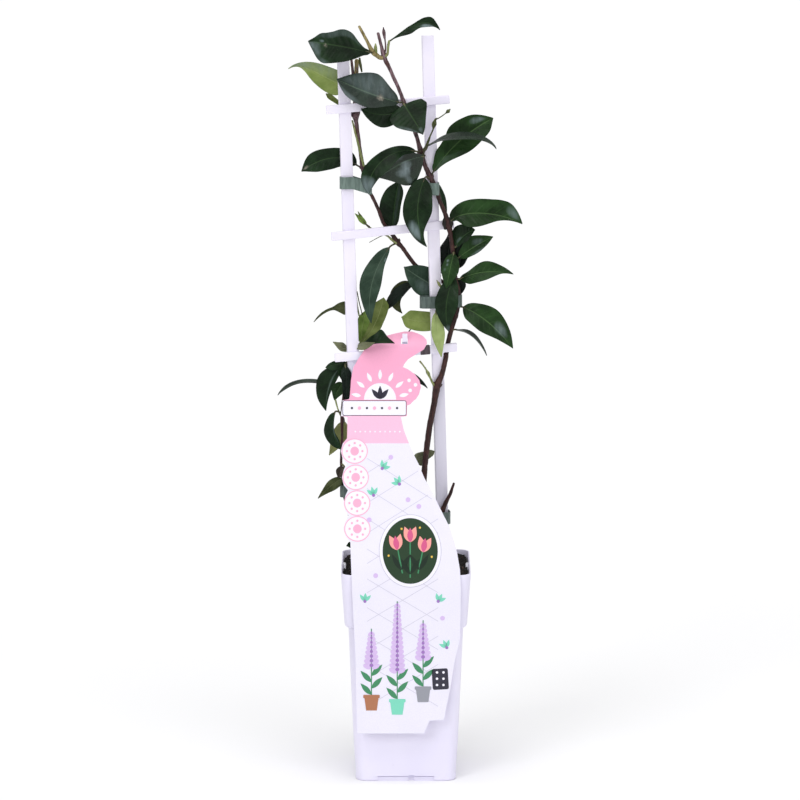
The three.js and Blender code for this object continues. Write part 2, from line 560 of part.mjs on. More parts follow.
// The outline's rows, with rows added so that the bend at the rim is smooth.
function cardRows() {
  const rows = [];
  for (let i = 0; i + 1 < CARD_OUTLINE.length; i += 1) {
    const [low, high] = [CARD_OUTLINE[i], CARD_OUTLINE[i + 1]];
    const steps = Math.max(1, Math.round((high[0] - low[0]) / 12));
    for (let step = 0; step < steps; step += 1) {
      rows.push(low.map((value, k) => value + ((high[k] - value) * step) / steps));
    }
  }
  rows.push(CARD_OUTLINE[CARD_OUTLINE.length - 1]);
  return rows;
}

function buildCard() {
  const { left, right, bottom, top } = CARD_SLOT;
  return cut(loft(cardRows().map(cardRing)), [box([left, -10, bottom], [right, 20, top])]);
}

function buildHook() {
  const outline = new THREE.Shape(HOOK_OUTLINE.map(([y, z]) => new THREE.Vector2(y, z)));
  const bar = new THREE.ExtrudeGeometry(outline, { depth: HOOK.right - HOOK.left, bevelEnabled: false });
  // The outline's own axes are depth and height, and it is pushed out sideways.
  const turn = new THREE.Matrix4().makeBasis(
    new THREE.Vector3(0, 1, 0), new THREE.Vector3(0, 0, 1), new THREE.Vector3(1, 0, 0),
  );
  return bar.applyMatrix4(turn).translate(HOOK.left, 0, 0);
}

// ---------- stems ----------

function stemCurve(points) {
  return new THREE.CatmullRomCurve3(points.map(([x, y, z]) => new THREE.Vector3(x, y, z)));
}

function stemRadius(points, t) {
  const place = t * (points.length - 1);
  const i = Math.min(Math.floor(place), points.length - 2);
  return THREE.MathUtils.lerp(points[i][3], points[i + 1][3], place - i);
}

function stemGeometry(points, grow = 0) {
  const curve = stemCurve(points);
  const steps = (points.length - 1) * STEPS_PER_SPAN;
  const rings = [];
  let across = new THREE.Vector3(0, 1, 0);
  for (let i = 0; i <= steps; i += 1) {
    const t = i / steps;
    const along = curve.getTangent(t);
    const centre = curve.getPoint(t).addScaledVector(along, i === 0 ? -grow : 0);
    const side = new THREE.Vector3().crossVectors(along, across).normalize();
    across = new THREE.Vector3().crossVectors(side, along).normalize();
    const radius = stemRadius(points, t) + grow;
    const ring = [];
    for (let s = 0; s < STEM_SIDES; s += 1) {
      const angle = (s / STEM_SIDES) * Math.PI * 2;
      ring.push(centre.clone()
        .addScaledVector(side, radius * Math.cos(angle))
        .addScaledVector(across, radius * Math.sin(angle)));
    }
    rings.push(ring);
  }
  return loft(rings);
}

// Places along a stem, each with its middle, direction and radius.
function stemSamples(points) {
  const curve = stemCurve(points);
  return Array.from({ length: 601 }, (_, i) => ({
    middle: curve.getPoint(i / 600),
    along: curve.getTangent(i / 600),
    radius: stemRadius(points, i / 600),
  }));
}

// Where a petiole that runs from a stem's middle to a leaf's base comes clear of the stem.
function petioleStart(samples, joint, bladeBase) {
  const reach = bladeBase.clone().sub(joint.middle);
  const direction = reach.clone().normalize();
  const margin = GAP + PETIOLE.halfWidth * Math.abs(direction.dot(joint.along));
  const furthest = reach.length() * 0.85;
  for (let distance = 0; distance < furthest; distance += 0.1) {
    const point = joint.middle.clone().addScaledVector(direction, distance);
    if (samples.every(({ middle, radius }) => point.distanceTo(middle) >= radius + margin)) {
      return point;
    }
  }
  return joint.middle.clone().addScaledVector(direction, furthest);
}

// ---------- leaves ----------

// The blade's edge on one side, as places along the midrib with their half widths.
function edgeCurve(halfWidths) {
  const [first] = halfWidths;
  const places = halfWidths.map((half, i) => new THREE.Vector2(PROFILE_PLACES[i], half));
  return new THREE.SplineCurve([
    new THREE.Vector2(0, PETIOLE.halfWidth),
    new THREE.Vector2(PROFILE_PLACES[0] / 3, first * 0.55 + 0.3),
    ...places,
    new THREE.Vector2(1, TIP_HALF_WIDTH),
  ]);
}

function bladeEdges(shape) {
  if (typeof shape === 'number') {
    const halves = PLAIN_LEAF.map((share) => (share * shape) / 2);
    return [edgeCurve(halves), edgeCurve(halves)];
  }
  return shape.map(edgeCurve);
}

function midribCurve(points) {
  const Curve = points.length === 3 ? THREE.QuadraticBezierCurve3 : THREE.CubicBezierCurve3;
  return new Curve(...points.map((point) => new THREE.Vector3(...point)));
}

// Across is roughly the way to the blade's right, and is squared up to the midrib here.
function leafRing(centre, along, across, right, left, thickness, foldDeg) {
  const up = new THREE.Vector3().crossVectors(across, along).normalize();
  const side = new THREE.Vector3().crossVectors(along, up);
  const fold = THREE.MathUtils.degToRad(foldDeg);
  const edge = (reach) => centre.clone()
    .addScaledVector(side, reach * Math.cos(fold))
    .addScaledVector(up, Math.abs(reach) * Math.sin(fold));
  const middle = (height) => centre.clone().addScaledVector(up, height);
  return [edge(right), middle(thickness / 2), edge(-left), middle(-thickness / 2)];
}

// A leaf stops short of its stem by the gap, unless it is joined and runs into the stem.
function leafGeometry(samples, row, joined = false) {
  const [height, points, shape, facing, foldDeg] = row;
  const miss = ({ middle }) => Math.abs(middle.z - height);
  const joint = samples.reduce((best, sample) => (miss(sample) < miss(best) ? sample : best));
  const midrib = midribCurve(points);
  const bladeBase = midrib.getPoint(0);
  const face = new THREE.Vector3(...facing);
  const acrossAt = (along) => new THREE.Vector3().crossVectors(along, face);
  const [rightEdge, leftEdge] = bladeEdges(shape);
  const start = joined ? joint.middle : petioleStart(samples, joint, bladeBase);
  const direction = bladeBase.clone().sub(start).normalize();
  const baseAcross = acrossAt(midrib.getTangent(0));
  const { halfWidth } = PETIOLE;
  const rings = [leafRing(start, direction, baseAcross, halfWidth, halfWidth, PETIOLE.thickness, 0)];
  for (let step = 0; step <= LEAF_STEPS; step += 1) {
    const right = rightEdge.getPoint(step / LEAF_STEPS);
    const left = leftEdge.getPoint(step / LEAF_STEPS);
    const along = midrib.getTangent(Math.min(right.x, 0.98));
    const across = acrossAt(along);
    if (step === 0) {
      along.add(direction).normalize();
    }
    const thickness = THREE.MathUtils.lerp(LEAF_THICKNESS.base, LEAF_THICKNESS.tip, right.x);
    const fold = foldDeg * Math.min(1, right.x * 4);
    rings.push(leafRing(midrib.getPoint(right.x), along, across, right.y, left.y, thickness, fold));
  }
  return loft(rings);
}

const STEM_LABELS = { right: 'right_vine', topTwig: 'top_twig', left: 'left_vine', low: 'low_vine' };

function addLeaves(parent) {
  for (const [stem, rows] of Object.entries(LEAVES)) {
    const samples = stemSamples(STEMS[stem]);
    rows.forEach((row, i) => {
      const number = String(i + 1).padStart(2, '0');
      const name = `leaf_${STEM_LABELS[stem]}_${number}`;
      addPart(parent, name, leafGeometry(samples, row), leafGreen());
    });
  }
}

// Stems joined to each other, with the small leaves that grow on them.
function vineGeometry(stems) {
  const wood = stems.map((stem) => stemGeometry(STEMS[stem]));
  const leaflets = stems.flatMap((stem) => (SMALL_LEAVES[stem] ?? [])
    .map((row) => leafGeometry(stemSamples(STEMS[stem]), row, true)));
  return join([...wood, ...leaflets]);
}

// ---------- the whole plant ----------

const plant = new THREE.Group();

addPart(plant, 'pot', buildPot(), potPlastic());
addTrellis(plant);

const rightVine = ['right', 'topTwig', 'budStalk', 'twigBud', 'sideShoot', 'nodeShoot'];
const leftVine = ['left', 'paleShoot', 'leafShoot'];
addPart(plant, 'right_vine', vineGeometry(rightVine), bark());
addPart(plant, 'left_vine', vineGeometry(leftVine), bark());
addPart(plant, 'low_vine', vineGeometry(['low']), bark());
addPart(plant, 'cut_stem', vineGeometry(['cut']), bark());

const soilCutters = [
  ...RAILS.map((rail) => placeOnTrellis(railGeometry(rail, GAP))),
  ...['right', 'low', 'cut'].map((stem) => stemGeometry(STEMS[stem], GAP)),
];
addPart(plant, 'potting_soil', buildSoil(soilCutters), earth());

for (const tie of TIES) {
  addPart(plant, tie.name, tieGeometry(tie), tapePlastic());
}
addPart(plant, 'plant_card', buildCard(), cardPlastic());
addPart(plant, 'card_hook', buildHook(), trellisPlastic());
addLeaves(plant);

export default plant;
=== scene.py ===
# A young star jasmine in a square nursery pot, tied to a ladder trellis, with its plant card.
# Shapes are in millimetres, +Z up, and turned into metres where each mesh is made.
import math
import random

import bmesh
import bpy
from mathutils import Euler, Matrix, Vector, noise


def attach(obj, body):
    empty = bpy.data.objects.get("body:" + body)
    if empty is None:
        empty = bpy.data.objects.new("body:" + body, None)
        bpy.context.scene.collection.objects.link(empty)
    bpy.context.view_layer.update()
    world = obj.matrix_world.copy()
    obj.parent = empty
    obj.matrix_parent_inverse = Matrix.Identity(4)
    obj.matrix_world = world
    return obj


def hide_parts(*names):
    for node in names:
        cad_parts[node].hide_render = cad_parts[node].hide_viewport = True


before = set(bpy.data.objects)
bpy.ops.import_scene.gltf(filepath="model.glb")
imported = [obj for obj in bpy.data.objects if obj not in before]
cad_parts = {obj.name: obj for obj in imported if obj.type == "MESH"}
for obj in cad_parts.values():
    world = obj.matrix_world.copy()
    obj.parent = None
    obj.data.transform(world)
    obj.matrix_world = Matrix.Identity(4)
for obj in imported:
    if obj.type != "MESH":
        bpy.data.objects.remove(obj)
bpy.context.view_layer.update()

MM = 0.001

# ---------- camera, floor and light ----------

CAMERA_PLACE = (-5.45, -4057.5, 1051.8)
CAMERA_TARGET = (-5.45, 0, 354.6)
CAMERA_LENS = 198.2
FLOOR_HALF = 30  # metres
WORLD_STRENGTH = 0.36
# Each light: rotation in degrees, strength, angle of the source in degrees.
SUNS = {
    "key_light": ((60, 0, -34), 0.64, 24),
    "fill_light": ((70, 0, 34), 0.55, 40),
    "top_light": ((12, 0, 0), 1.8, 60),
}


def make_camera():
    data = bpy.data.cameras.new("camera")
    data.lens = CAMERA_LENS
    data.sensor_width = 36
    data.clip_start = 0.1
    data.clip_end = 200
    camera = bpy.data.objects.new("camera", data)
    camera.location = Vector(CAMERA_PLACE) * MM
    look = Vector(CAMERA_TARGET) - Vector(CAMERA_PLACE)
    camera.rotation_euler = look.to_track_quat("-Z", "Y").to_euler()
    bpy.context.scene.collection.objects.link(camera)
    bpy.context.scene.camera = camera


def make_lights():
    for name, (turn, strength, angle) in SUNS.items():
        data = bpy.data.lights.new(name, "SUN")
        data.energy = strength
        data.angle = math.radians(angle)
        lamp = bpy.data.objects.new(name, data)
        lamp.rotation_euler = Euler([math.radians(a) for a in turn])
        bpy.context.scene.collection.objects.link(lamp)
    world = bpy.data.worlds.new("world")
    bpy.context.scene.world = world
    world.use_nodes = True
    sky = world.node_tree.nodes["Background"]
    sky.inputs["Color"].default_value = (1, 1, 1, 1)
    sky.inputs["Strength"].default_value = WORLD_STRENGTH
    bpy.context.scene.view_settings.view_transform = "Standard"


# ---------- materials ----------

# Heights in metres: plastic is painted darker below these, as painted shade, and bark is young above these.
PAINTED_SHADE_HEIGHTS = (0.366, 0.376)
YOUNG_HEIGHTS = (0.52, 0.68)
# The pale sky that a glossy leaf mirrors. It is painted into the leaf, and not a true reflection.
GLEAM = (126, 141, 144)
SCAR = (138, 132, 120)


def linear(color):
    """An sRGB colour of 0 to 255 as the linear one that a shader takes."""
    parts = [c / 255 for c in color]
    return tuple(c / 12.92 if c <= 0.04045 else ((c + 0.055) / 1.055) ** 2.4 for c in parts) + (1,)


def shade(color, times, plus=0):
    """A lighter or darker sRGB colour."""
    return tuple(min(255, c * times + plus) for c in color)


class Finish:
    """A material that is put together node by node."""

    def __init__(self, name, roughness=0.5, specular=0.5):
        self.material = bpy.data.materials.new(name)
        self.material.use_nodes = True
        self.tree = self.material.node_tree
        self.shader = self.tree.nodes["Principled BSDF"]
        self.shader.inputs["Roughness"].default_value = roughness
        self.shader.inputs["Specular IOR Level"].default_value = specular

    def node(self, kind):
        return self.tree.nodes.new("ShaderNode" + kind)

    def link(self, source, target):
        self.tree.links.new(source, target)

    def value(self, target, source):
        """Puts a number, an sRGB colour or another node's output into a socket."""
        if isinstance(source, bpy.types.NodeSocket):
            self.link(source, target)
        elif isinstance(source, (int, float)):
            target.default_value = source
        else:
            target.default_value = linear(source)

    def places(self, scale=(1, 1, 1)):
        mapping = self.node("Mapping")
        mapping.inputs["Scale"].default_value = scale
        self.link(self.node("TexCoord").outputs["Object"], mapping.inputs["Vector"])
        return mapping.outputs["Vector"]

    def noise(self, scale, detail=3, stretch=(1, 1, 1)):
        node = self.node("TexNoise")
        node.inputs["Scale"].default_value = scale
        node.inputs["Detail"].default_value = detail
        self.link(self.places(stretch), node.inputs["Vector"])
        return node.outputs["Fac"]

    def ramp(self, source, low, high, start=0.0, end=1.0):
        """Runs from start to end while the source goes from low to high."""
        node = self.node("MapRange")
        node.interpolation_type = "SMOOTHSTEP"
        self.value(node.inputs["Value"], source)
        node.inputs["From Min"].default_value = low
        node.inputs["From Max"].default_value = high
        node.inputs["To Min"].default_value = start
        node.inputs["To Max"].default_value = end
        return node.outputs["Result"]

    def clouds(self, scale, detail, low, high, start=0.0, end=1.0, stretch=(1, 1, 1)):
        """Noise that runs from start to end between two of its levels."""
        return self.ramp(self.noise(scale, detail, stretch), low, high, start, end)

    def math(self, operation, a, b=0.0):
        node = self.node("Math")
        node.operation = operation
        self.value(node.inputs[0], a)
        self.value(node.inputs[1], b)
        return node.outputs["Value"]

    def times(self, a, b):
        return self.math("MULTIPLY", a, b)

    def mix(self, share, a, b):
        node = self.node("Mix")
        node.data_type = "RGBA"
        colors = [socket for socket in node.inputs if socket.type == "RGBA"]
        self.value(node.inputs["Factor"], share)
        self.value(colors[0], a)
        self.value(colors[1], b)
        return next(socket for socket in node.outputs if socket.type == "RGBA")

    def height(self):
        """The height over the floor, in metres."""
        parts = self.node("SeparateXYZ")
        self.link(self.node("TexCoord").outputs["Object"], parts.inputs["Vector"])
        return parts.outputs["Z"]

    def attribute(self, name):
        node = self.node("Attribute")
        node.attribute_name = name
        return node.outputs["Fac"]

    def color(self, source):
        self.value(self.shader.inputs["Base Color"], source)

    def roughness(self, source):
        self.value(self.shader.inputs["Roughness"], source)

    def bump(self, height, distance_mm, strength=1.0):
        node = self.node("Bump")
        node.inputs["Strength"].default_value = strength
        node.inputs["Distance"].default_value = distance_mm * MM
        self.link(height, node.inputs["Height"])
        self.link(node.outputs["Normal"], self.shader.inputs["Normal"])


def moulded_plastic(name, light, dark, roughness, painted_shade=None):
    """Smooth moulded plastic: faint clouds, rubbed patches, a fine grain, and painted shade low down where
    a shade colour is given.
    """
    finish = Finish(name, roughness, 0.4)
    base = finish.mix(finish.clouds(14, 4, 0.35, 0.7), light, dark)
    if painted_shade:
        base = finish.mix(finish.ramp(finish.height(), *PAINTED_SHADE_HEIGHTS, 1.0, 0.0), base, painted_shade)
    scuffs = finish.clouds(220, 6, 0.66, 0.78, 0.0, 0.3, (1, 1, 0.35))
    finish.color(finish.mix(scuffs, base, shade(light, 0.9)))
    finish.roughness(finish.clouds(60, 4, 0.3, 0.7, roughness - 0.06, roughness + 0.1))
    finish.bump(finish.noise(900, 2), 0.02, 0.5)
    return finish.material


def bark_finish(name, dark, light, moss=None, young=None):
    """Bark with fine streaks along the stem, thin patches and pale pores, and paler high up."""
    finish = Finish(name, 0.5, 0.3)
    streaks = finish.clouds(900, 5, 0.3, 0.72, stretch=(1, 1, 0.12))
    base = finish.mix(streaks, dark, light)
    if young:
        share = finish.times(finish.ramp(finish.height(), *YOUNG_HEIGHTS, 0.0, 0.85), streaks)
        base = finish.mix(share, base, young)
    patches = finish.clouds(90, 3, 0.52, 0.7, 0.0, 0.8)
    base = finish.mix(patches, base, moss or shade(light, 1.25, 8))
    pores = finish.clouds(1500, 2, 0.68, 0.76, 0.0, 0.7)
    finish.color(finish.mix(pores, base, shade(light, 1.5, 30)))
    finish.bump(finish.noise(1000, 5, (1, 1, 0.2)), 0.25, 0.8)
    return finish.material


def leaf_veins(finish):
    """How much of a point is vein: the midrib, and slanting side veins that fade to the margin."""
    reach = finish.math("ABSOLUTE", finish.attribute("across"))
    along = finish.times(finish.attribute("along"), VEIN_PAIRS)
    slant = finish.math("SUBTRACT", along, finish.times(reach, VEIN_SLANT))
    wander = finish.math("ADD", slant, finish.times(finish.noise(40, 2), 0.5))
    lines = finish.ramp(finish.math("PINGPONG", wander, 0.5), 0.0, 0.07, 1.0, 0.0)
    side_veins = finish.times(lines, finish.ramp(reach, 0.05, 0.95, 0.3, 0.03))
    midrib = finish.ramp(reach, 0.015, 0.06, 1.0, 0.0)
    margin = finish.ramp(reach, 0.9, 1.0, 0.0, 0.35)
    return finish.math("MAXIMUM", side_veins, midrib), margin


def leaf_finish(name, dark, light, vein, under, roughness=0.3, specular=0.1, wrinkles=0.0):
    """A leathery leaf: mottled, with veins, a dark margin, specks, scars, and painted gloss and shade."""
    finish = Finish(name, roughness, specular)
    veins, margin = leaf_veins(finish)
    top = finish.mix(finish.clouds(70, 4, 0.3, 0.72), dark, light)
    top = finish.mix(finish.times(veins, 0.62), top, vein)
    top = finish.mix(margin, top, shade(dark, 0.7))
    top = finish.mix(finish.clouds(520, 3, 0.74, 0.79, 0.0, 0.5), top, shade(light, 1.9, 20))
    # The shine attribute paints a pale sky reflection in streaks, and below 0 it paints shade.
    shine = finish.attribute("shine")
    streaks = finish.clouds(300, 5, 0.32, 0.68, 0.62, 1.2, (1, 1, 0.22))
    top = finish.mix(finish.times(finish.math("MAXIMUM", shine, 0.0), streaks), top, GLEAM)
    gloom = finish.math("MAXIMUM", finish.times(shine, -1.0), 0.0)
    top = finish.mix(gloom, top, shade(dark, 0.4))
    crust = finish.clouds(800, 4, 0.38, 0.6, 0.35, 1.0)
    top = finish.mix(finish.times(finish.attribute("scar"), crust), top, SCAR)
    back = finish.mix(finish.times(veins, 0.8), under, vein)
    finish.color(finish.mix(finish.attribute("below"), top, back))
    finish.roughness(finish.clouds(160, 4, 0.3, 0.7, roughness - 0.07, roughness + 0.12))
    creases = finish.times(finish.noise(260, 3, (1.6, 1.6, 0.7)), 0.35 + wrinkles)
    finish.bump(finish.math("SUBTRACT", creases, finish.times(veins, 0.5)), 0.4, 0.7)
    return finish.material


def soil_finish():
    """Dark crumbs with a few pale bits."""
    finish = Finish("soil", 0.8, 0.3)
    base = finish.mix(finish.clouds(420, 6, 0.35, 0.7), (7, 5, 5), (32, 23, 20))
    finish.color(finish.mix(finish.clouds(300, 2, 0.7, 0.76, 0.0, 0.7), base, (92, 78, 70)))
    finish.bump(finish.noise(700, 6), 1.0, 1.0)
    return finish.material


def printed_plastic(name, ink, roughness=0.34):
    """Printed card: the ink's colour with a barely visible print grain."""
    finish = Finish(name, roughness, 0.4)
    tone = finish.mix(finish.clouds(1800, 2, 0.35, 0.65), ink, shade(ink, 0.975))
    finish.color(finish.mix(finish.clouds(30, 3, 0.4, 0.75, 0.0, 0.25), tone, shade(ink, 0.95)))
    finish.bump(finish.noise(1200, 2), 0.01, 0.4)
    return finish.material


def tape_finish(name, light, dark):
    """Soft tape with a fine weave along its length."""
    finish = Finish(name, 0.5, 0.35)
    finish.color(finish.mix(finish.clouds(500, 3, 0.35, 0.65, stretch=(1, 1, 0.2)), light, dark))
    finish.bump(finish.noise(700, 3, (1, 1, 0.3)), 0.1, 0.6)
    return finish.material


# ---------- mesh helpers ----------


# Edges that turn by more than this many degrees stay sharp.
CREASE = 32
GROWN_CREASE = 50
# What a leaf's points carry for its material.
MARKS = ("across", "along", "below", "shine", "scar")
BLANK = (0.0,) * len(MARKS)


class Shape:
    """Gathers the points and faces of one piece, in millimetres."""

    def __init__(self):
        self.points = []
        self.faces = []
        self.slots = []
        self.marks = []

    def add(self, points, faces, slot=0, marks=None):
        start = len(self.points)
        self.points += [Vector(p) for p in points]
        self.faces += [[start + i for i in face] for face in faces]
        self.slots += [slot] * len(faces)
        self.marks += marks or [BLANK] * len(points)

    def loft(self, rings, slot=0, caps=True, closed=True, marks=None):
        """Faces between rings that all have the same number of points."""
        sides = len(rings[0])
        faces = []
        for r in range(len(rings) - 1):
            for s in range(sides if closed else sides - 1):
                a, b = r * sides + s, r * sides + (s + 1) % sides
                faces.append((a, b, b + sides, a + sides))
        if caps:
            last = (len(rings) - 1) * sides
            faces.append(tuple(reversed(range(sides))))
            faces.append(tuple(range(last, last + sides)))
        self.add([p for ring in rings for p in ring], faces, slot, marks)

    def build(self, name, materials, crease_deg=CREASE, outward=True):
        mesh = bpy.data.meshes.new(name)
        mesh.from_pydata([p * MM for p in self.points], [], self.faces)
        for material in materials:
            mesh.materials.append(material)
        for polygon, slot in zip(mesh.polygons, self.slots):
            polygon.material_index = slot
        if any(mark != BLANK for mark in self.marks):
            for k, mark_name in enumerate(MARKS):
                layer = mesh.attributes.new(mark_name, "FLOAT", "POINT")
                layer.data.foreach_set("value", [mark[k] for mark in self.marks])
        smooth(mesh, crease_deg, outward)
        piece = bpy.data.objects.new(name, mesh)
        bpy.context.scene.collection.objects.link(piece)
        return piece


def smooth(mesh, crease_deg, outward=True):
    """Shades a mesh smooth, apart from the edges that are sharper than the angle."""
    work = bmesh.new()
    work.from_mesh(mesh)
    if outward:
        bmesh.ops.recalc_face_normals(work, faces=work.faces)
    limit = math.radians(crease_deg)
    for face in work.faces:
        face.smooth = True
    for edge in work.edges:
        edge.smooth = len(edge.link_faces) != 2 or edge.calc_face_angle(0) < limit
    work.to_mesh(mesh)
    work.free()


def cut(piece, cutters):
    """Takes the cutters' shapes out of a piece and removes them."""
    for cutter in cutters:
        step = piece.modifiers.new("cut", "BOOLEAN")
        step.operation = "DIFFERENCE"
        step.solver = "EXACT"
        step.object = cutter
    bpy.context.view_layer.update()
    graph = bpy.context.evaluated_depsgraph_get()
    done = bpy.data.meshes.new_from_object(piece.evaluated_get(graph))
    piece.modifiers.clear()
    piece.data = done
    for cutter in cutters:
        bpy.data.objects.remove(cutter)


def block(name, low, high):
    shape = Shape()
    rings = [[(x, y, z) for x, y in ((low[0], low[1]), (high[0], low[1]),
                                     (high[0], high[1]), (low[0], high[1]))]
             for z in (low[2], high[2])]
    shape.loft(rings)
    return shape.build(name, [])


def finish_piece(piece, slot, *nodes):
    """Every piece rides on the one body and stands for its CAD nodes, which are hidden. The slot is not
    used.
    """
    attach(piece, "root")
    if nodes:
        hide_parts(*nodes)


# ---------- pot ----------

RIM_HALF = 60.5
COLLAR_FOOT_HALF = 57.2
COLLAR_BOTTOM = 148
BODY_TOP_HALF = 53.6
BODY_FOOT_HALF = 46.9
POT_HEIGHT = 200
POT_WALL = 1.4
CORNER_RADIUS = 11
CORNER_STEPS = 14
FLOOR_UNDERSIDE = 5
FLOOR_TOP = 6.5
FOOT_RING_INNER_HALF = 40
FOOT_NOTCH = {"width": 5, "height": 5.8, "offset": 5.2, "depth": 3.2}
FOOT_PAD_RADIUS = 8
FOOT_RECESS = {"width": 53, "height": 4.8, "depth": 1.2, "groove": 0.9, "groove_depth": 2.4}
DRAIN_HOLE_RADIUS = 4
DRAIN_HOLE_RING = 30
LUG = {"depth": 2.4, "width": 9, "bottom": 193.5, "top": 198.8, "sunk": 0.6, "bevel": 0.7}
LUG_RISE = 0.875  # share of the way up the collar, where the lugs meet its inner face

# The pot's section from the foot, up the outside, over the rim, down the inside: half width, height.
POT_SECTION = [
    (FOOT_RING_INNER_HALF + 1, FLOOR_UNDERSIDE), (FOOT_RING_INNER_HALF + 0.4, 2),
    (FOOT_RING_INNER_HALF, 0.3), (FOOT_RING_INNER_HALF + 0.3, 0), (45.9, 0), (46.5, 0.2), (46.9, 0.7),
    (47.1, 1.6), (47.3, 3.4), (BODY_FOOT_HALF, 6.5), (49, 39.5), (50.5, 75), (52, 110.3),
    (BODY_TOP_HALF - 0.1, 146.4), (BODY_TOP_HALF + 0.1, 147.4), (BODY_TOP_HALF + 0.6, 147.9),
    (54.8, COLLAR_BOTTOM), (55.8, 148.4), (56.6, 149.6), (57, 151), (COLLAR_FOOT_HALF, 152.6),
    (58.3, 168), (59.4, 184), (60.43, 199), (60.4, 199.6), (60.1, 199.95), (59.7, POT_HEIGHT),
    (59.3, 199.9), (59.08, 199.5), (59, 198.8), (57.8, 180), (56.6, 163.5), (COLLAR_FOOT_HALF - 1.4, 153),
    (55, 150.4), (BODY_TOP_HALF - 1.4, 149), (51, 122), (49.2, 80), (47.6, 40), (46.4, 10.5),
    (45.4, 7.4), (44.2, FLOOR_TOP),
]


def rounded_square(half, z, steps=CORNER_STEPS):
    radius = min(CORNER_RADIUS, half / 3)
    ring = []
    for corner in range(4):
        cx = (half - radius) * (1 if corner in (0, 3) else -1)
        cy = (half - radius) * (1 if corner < 2 else -1)
        for step in range(steps + 1):
            angle = (corner + step / steps) * math.pi / 2
            ring.append((cx + radius * math.cos(angle), cy + radius * math.sin(angle), z))
    return ring


def disc_column(radius, low, high, centre=(0, 0), sides=32):
    """The two rings of an upright cylinder, with its lower edge rounded off."""
    rings = []
    for z, r in ((low, radius - 0.3), (low + 0.3, radius), (high, radius)):
        rings.append([(centre[0] + r * math.cos(2 * math.pi * i / sides),
                       centre[1] + r * math.sin(2 * math.pi * i / sides), z) for i in range(sides)])
    return rings


def foot_cutters():
    reach = BODY_FOOT_HALF + 5
    near = FOOT_NOTCH["offset"] - FOOT_NOTCH["width"] / 2
    far = FOOT_NOTCH["offset"] + FOOT_NOTCH["width"] / 2
    half = FOOT_RECESS["width"] / 2
    recess_face = BODY_FOOT_HALF - FOOT_RECESS["depth"]
    notch_face = BODY_FOOT_HALF - FOOT_NOTCH["depth"]
    cutters = []
    for side in range(4):
        recess = block("cutter", (-half, -reach, -1), (half, -recess_face, FOOT_RECESS["height"]))
        notch = block("cutter", (near, -reach, -1), (far, -notch_face, FOOT_NOTCH["height"]))
        groove = block("cutter", (-half, -reach, FOOT_RECESS["height"] - FOOT_RECESS["groove"]),
                       (half, FOOT_RECESS["groove_depth"] - BODY_FOOT_HALF, FOOT_RECESS["height"]))
        for cutter in (recess, notch, groove):
            cutter.data.transform(Matrix.Rotation(side * math.pi / 2, 4, "Z"))
            cutters.append(cutter)
    for i in range(8):
        angle = i * math.pi / 4
        ring = DRAIN_HOLE_RING * (1.2 if i % 2 else 1)
        hole = Shape()
        hole.loft(disc_column(DRAIN_HOLE_RADIUS, 0.5, 12, (ring * math.cos(angle), ring * math.sin(angle))))
        cutters.append(hole.build("cutter", []))
    return cutters


def make_pot():
    shape = Shape()
    shape.loft([rounded_square(half, z) for half, z in POT_SECTION])
    pot = shape.build("nursery_pot", [POT_PLASTIC, LUG_PLASTIC])
    cut(pot, foot_cutters())
    extras = Shape()
    extras.loft(disc_column(FOOT_PAD_RADIUS, 0, FLOOR_UNDERSIDE + 0.4))
    inside = COLLAR_FOOT_HALF + (RIM_HALF - COLLAR_FOOT_HALF) * LUG_RISE - POT_WALL
    for side in (-1, 1):
        rings = []
        sunk, deep = LUG["sunk"], LUG["depth"]
        for depth, inset in ((-sunk, 0), (deep - sunk, 0), (deep, LUG["bevel"])):
            x = side * (inside - depth)
            low, high = LUG["bottom"] + inset, LUG["top"] - inset
            half = LUG["width"] / 2 - inset
            rings.append([(x, -half - 1.5, low), (x, half, low), (x, half - 1, high), (x, 2 - half, high)])
        extras.loft(rings, 1)
    fittings = extras.build("pot_fittings", [POT_PLASTIC, LUG_PLASTIC])
    work = bmesh.new()
    work.from_mesh(pot.data)
    work.from_mesh(fittings.data)
    work.to_mesh(pot.data)
    work.free()
    bpy.data.objects.remove(fittings)
    smooth(pot.data, CREASE)
    finish_piece(pot, "pot_plastic", "pot")


# ---------- soil ----------

SOIL_HALF = 58
SOIL_TOP = 192
SOIL_CELLS = 110
SOIL_RELIEF = 1.9
SOIL_BANK = 3.8  # how much higher the soil lies against the back and the sides
SOIL_BELOW = ((0.97, 168), (0.9, 150), (0.8, 9))  # share of the surface's outline, height
CRUMBS = {"count": 420, "reach": 55, "perlite": 0.16, "seed": 4}


def soil_height(x, y):
    spot = Vector((x, y, 0))
    lumps = noise.noise(spot * 0.07) * 0.9 + noise.noise(spot * 0.22) * 0.8
    bank = SOIL_BANK * max(0, min(1, (max(abs(x) - 6, y) - 34) / 20)) ** 2
    return SOIL_TOP + bank + SOIL_RELIEF * (lumps + noise.noise(spot * 0.6) * 0.5)


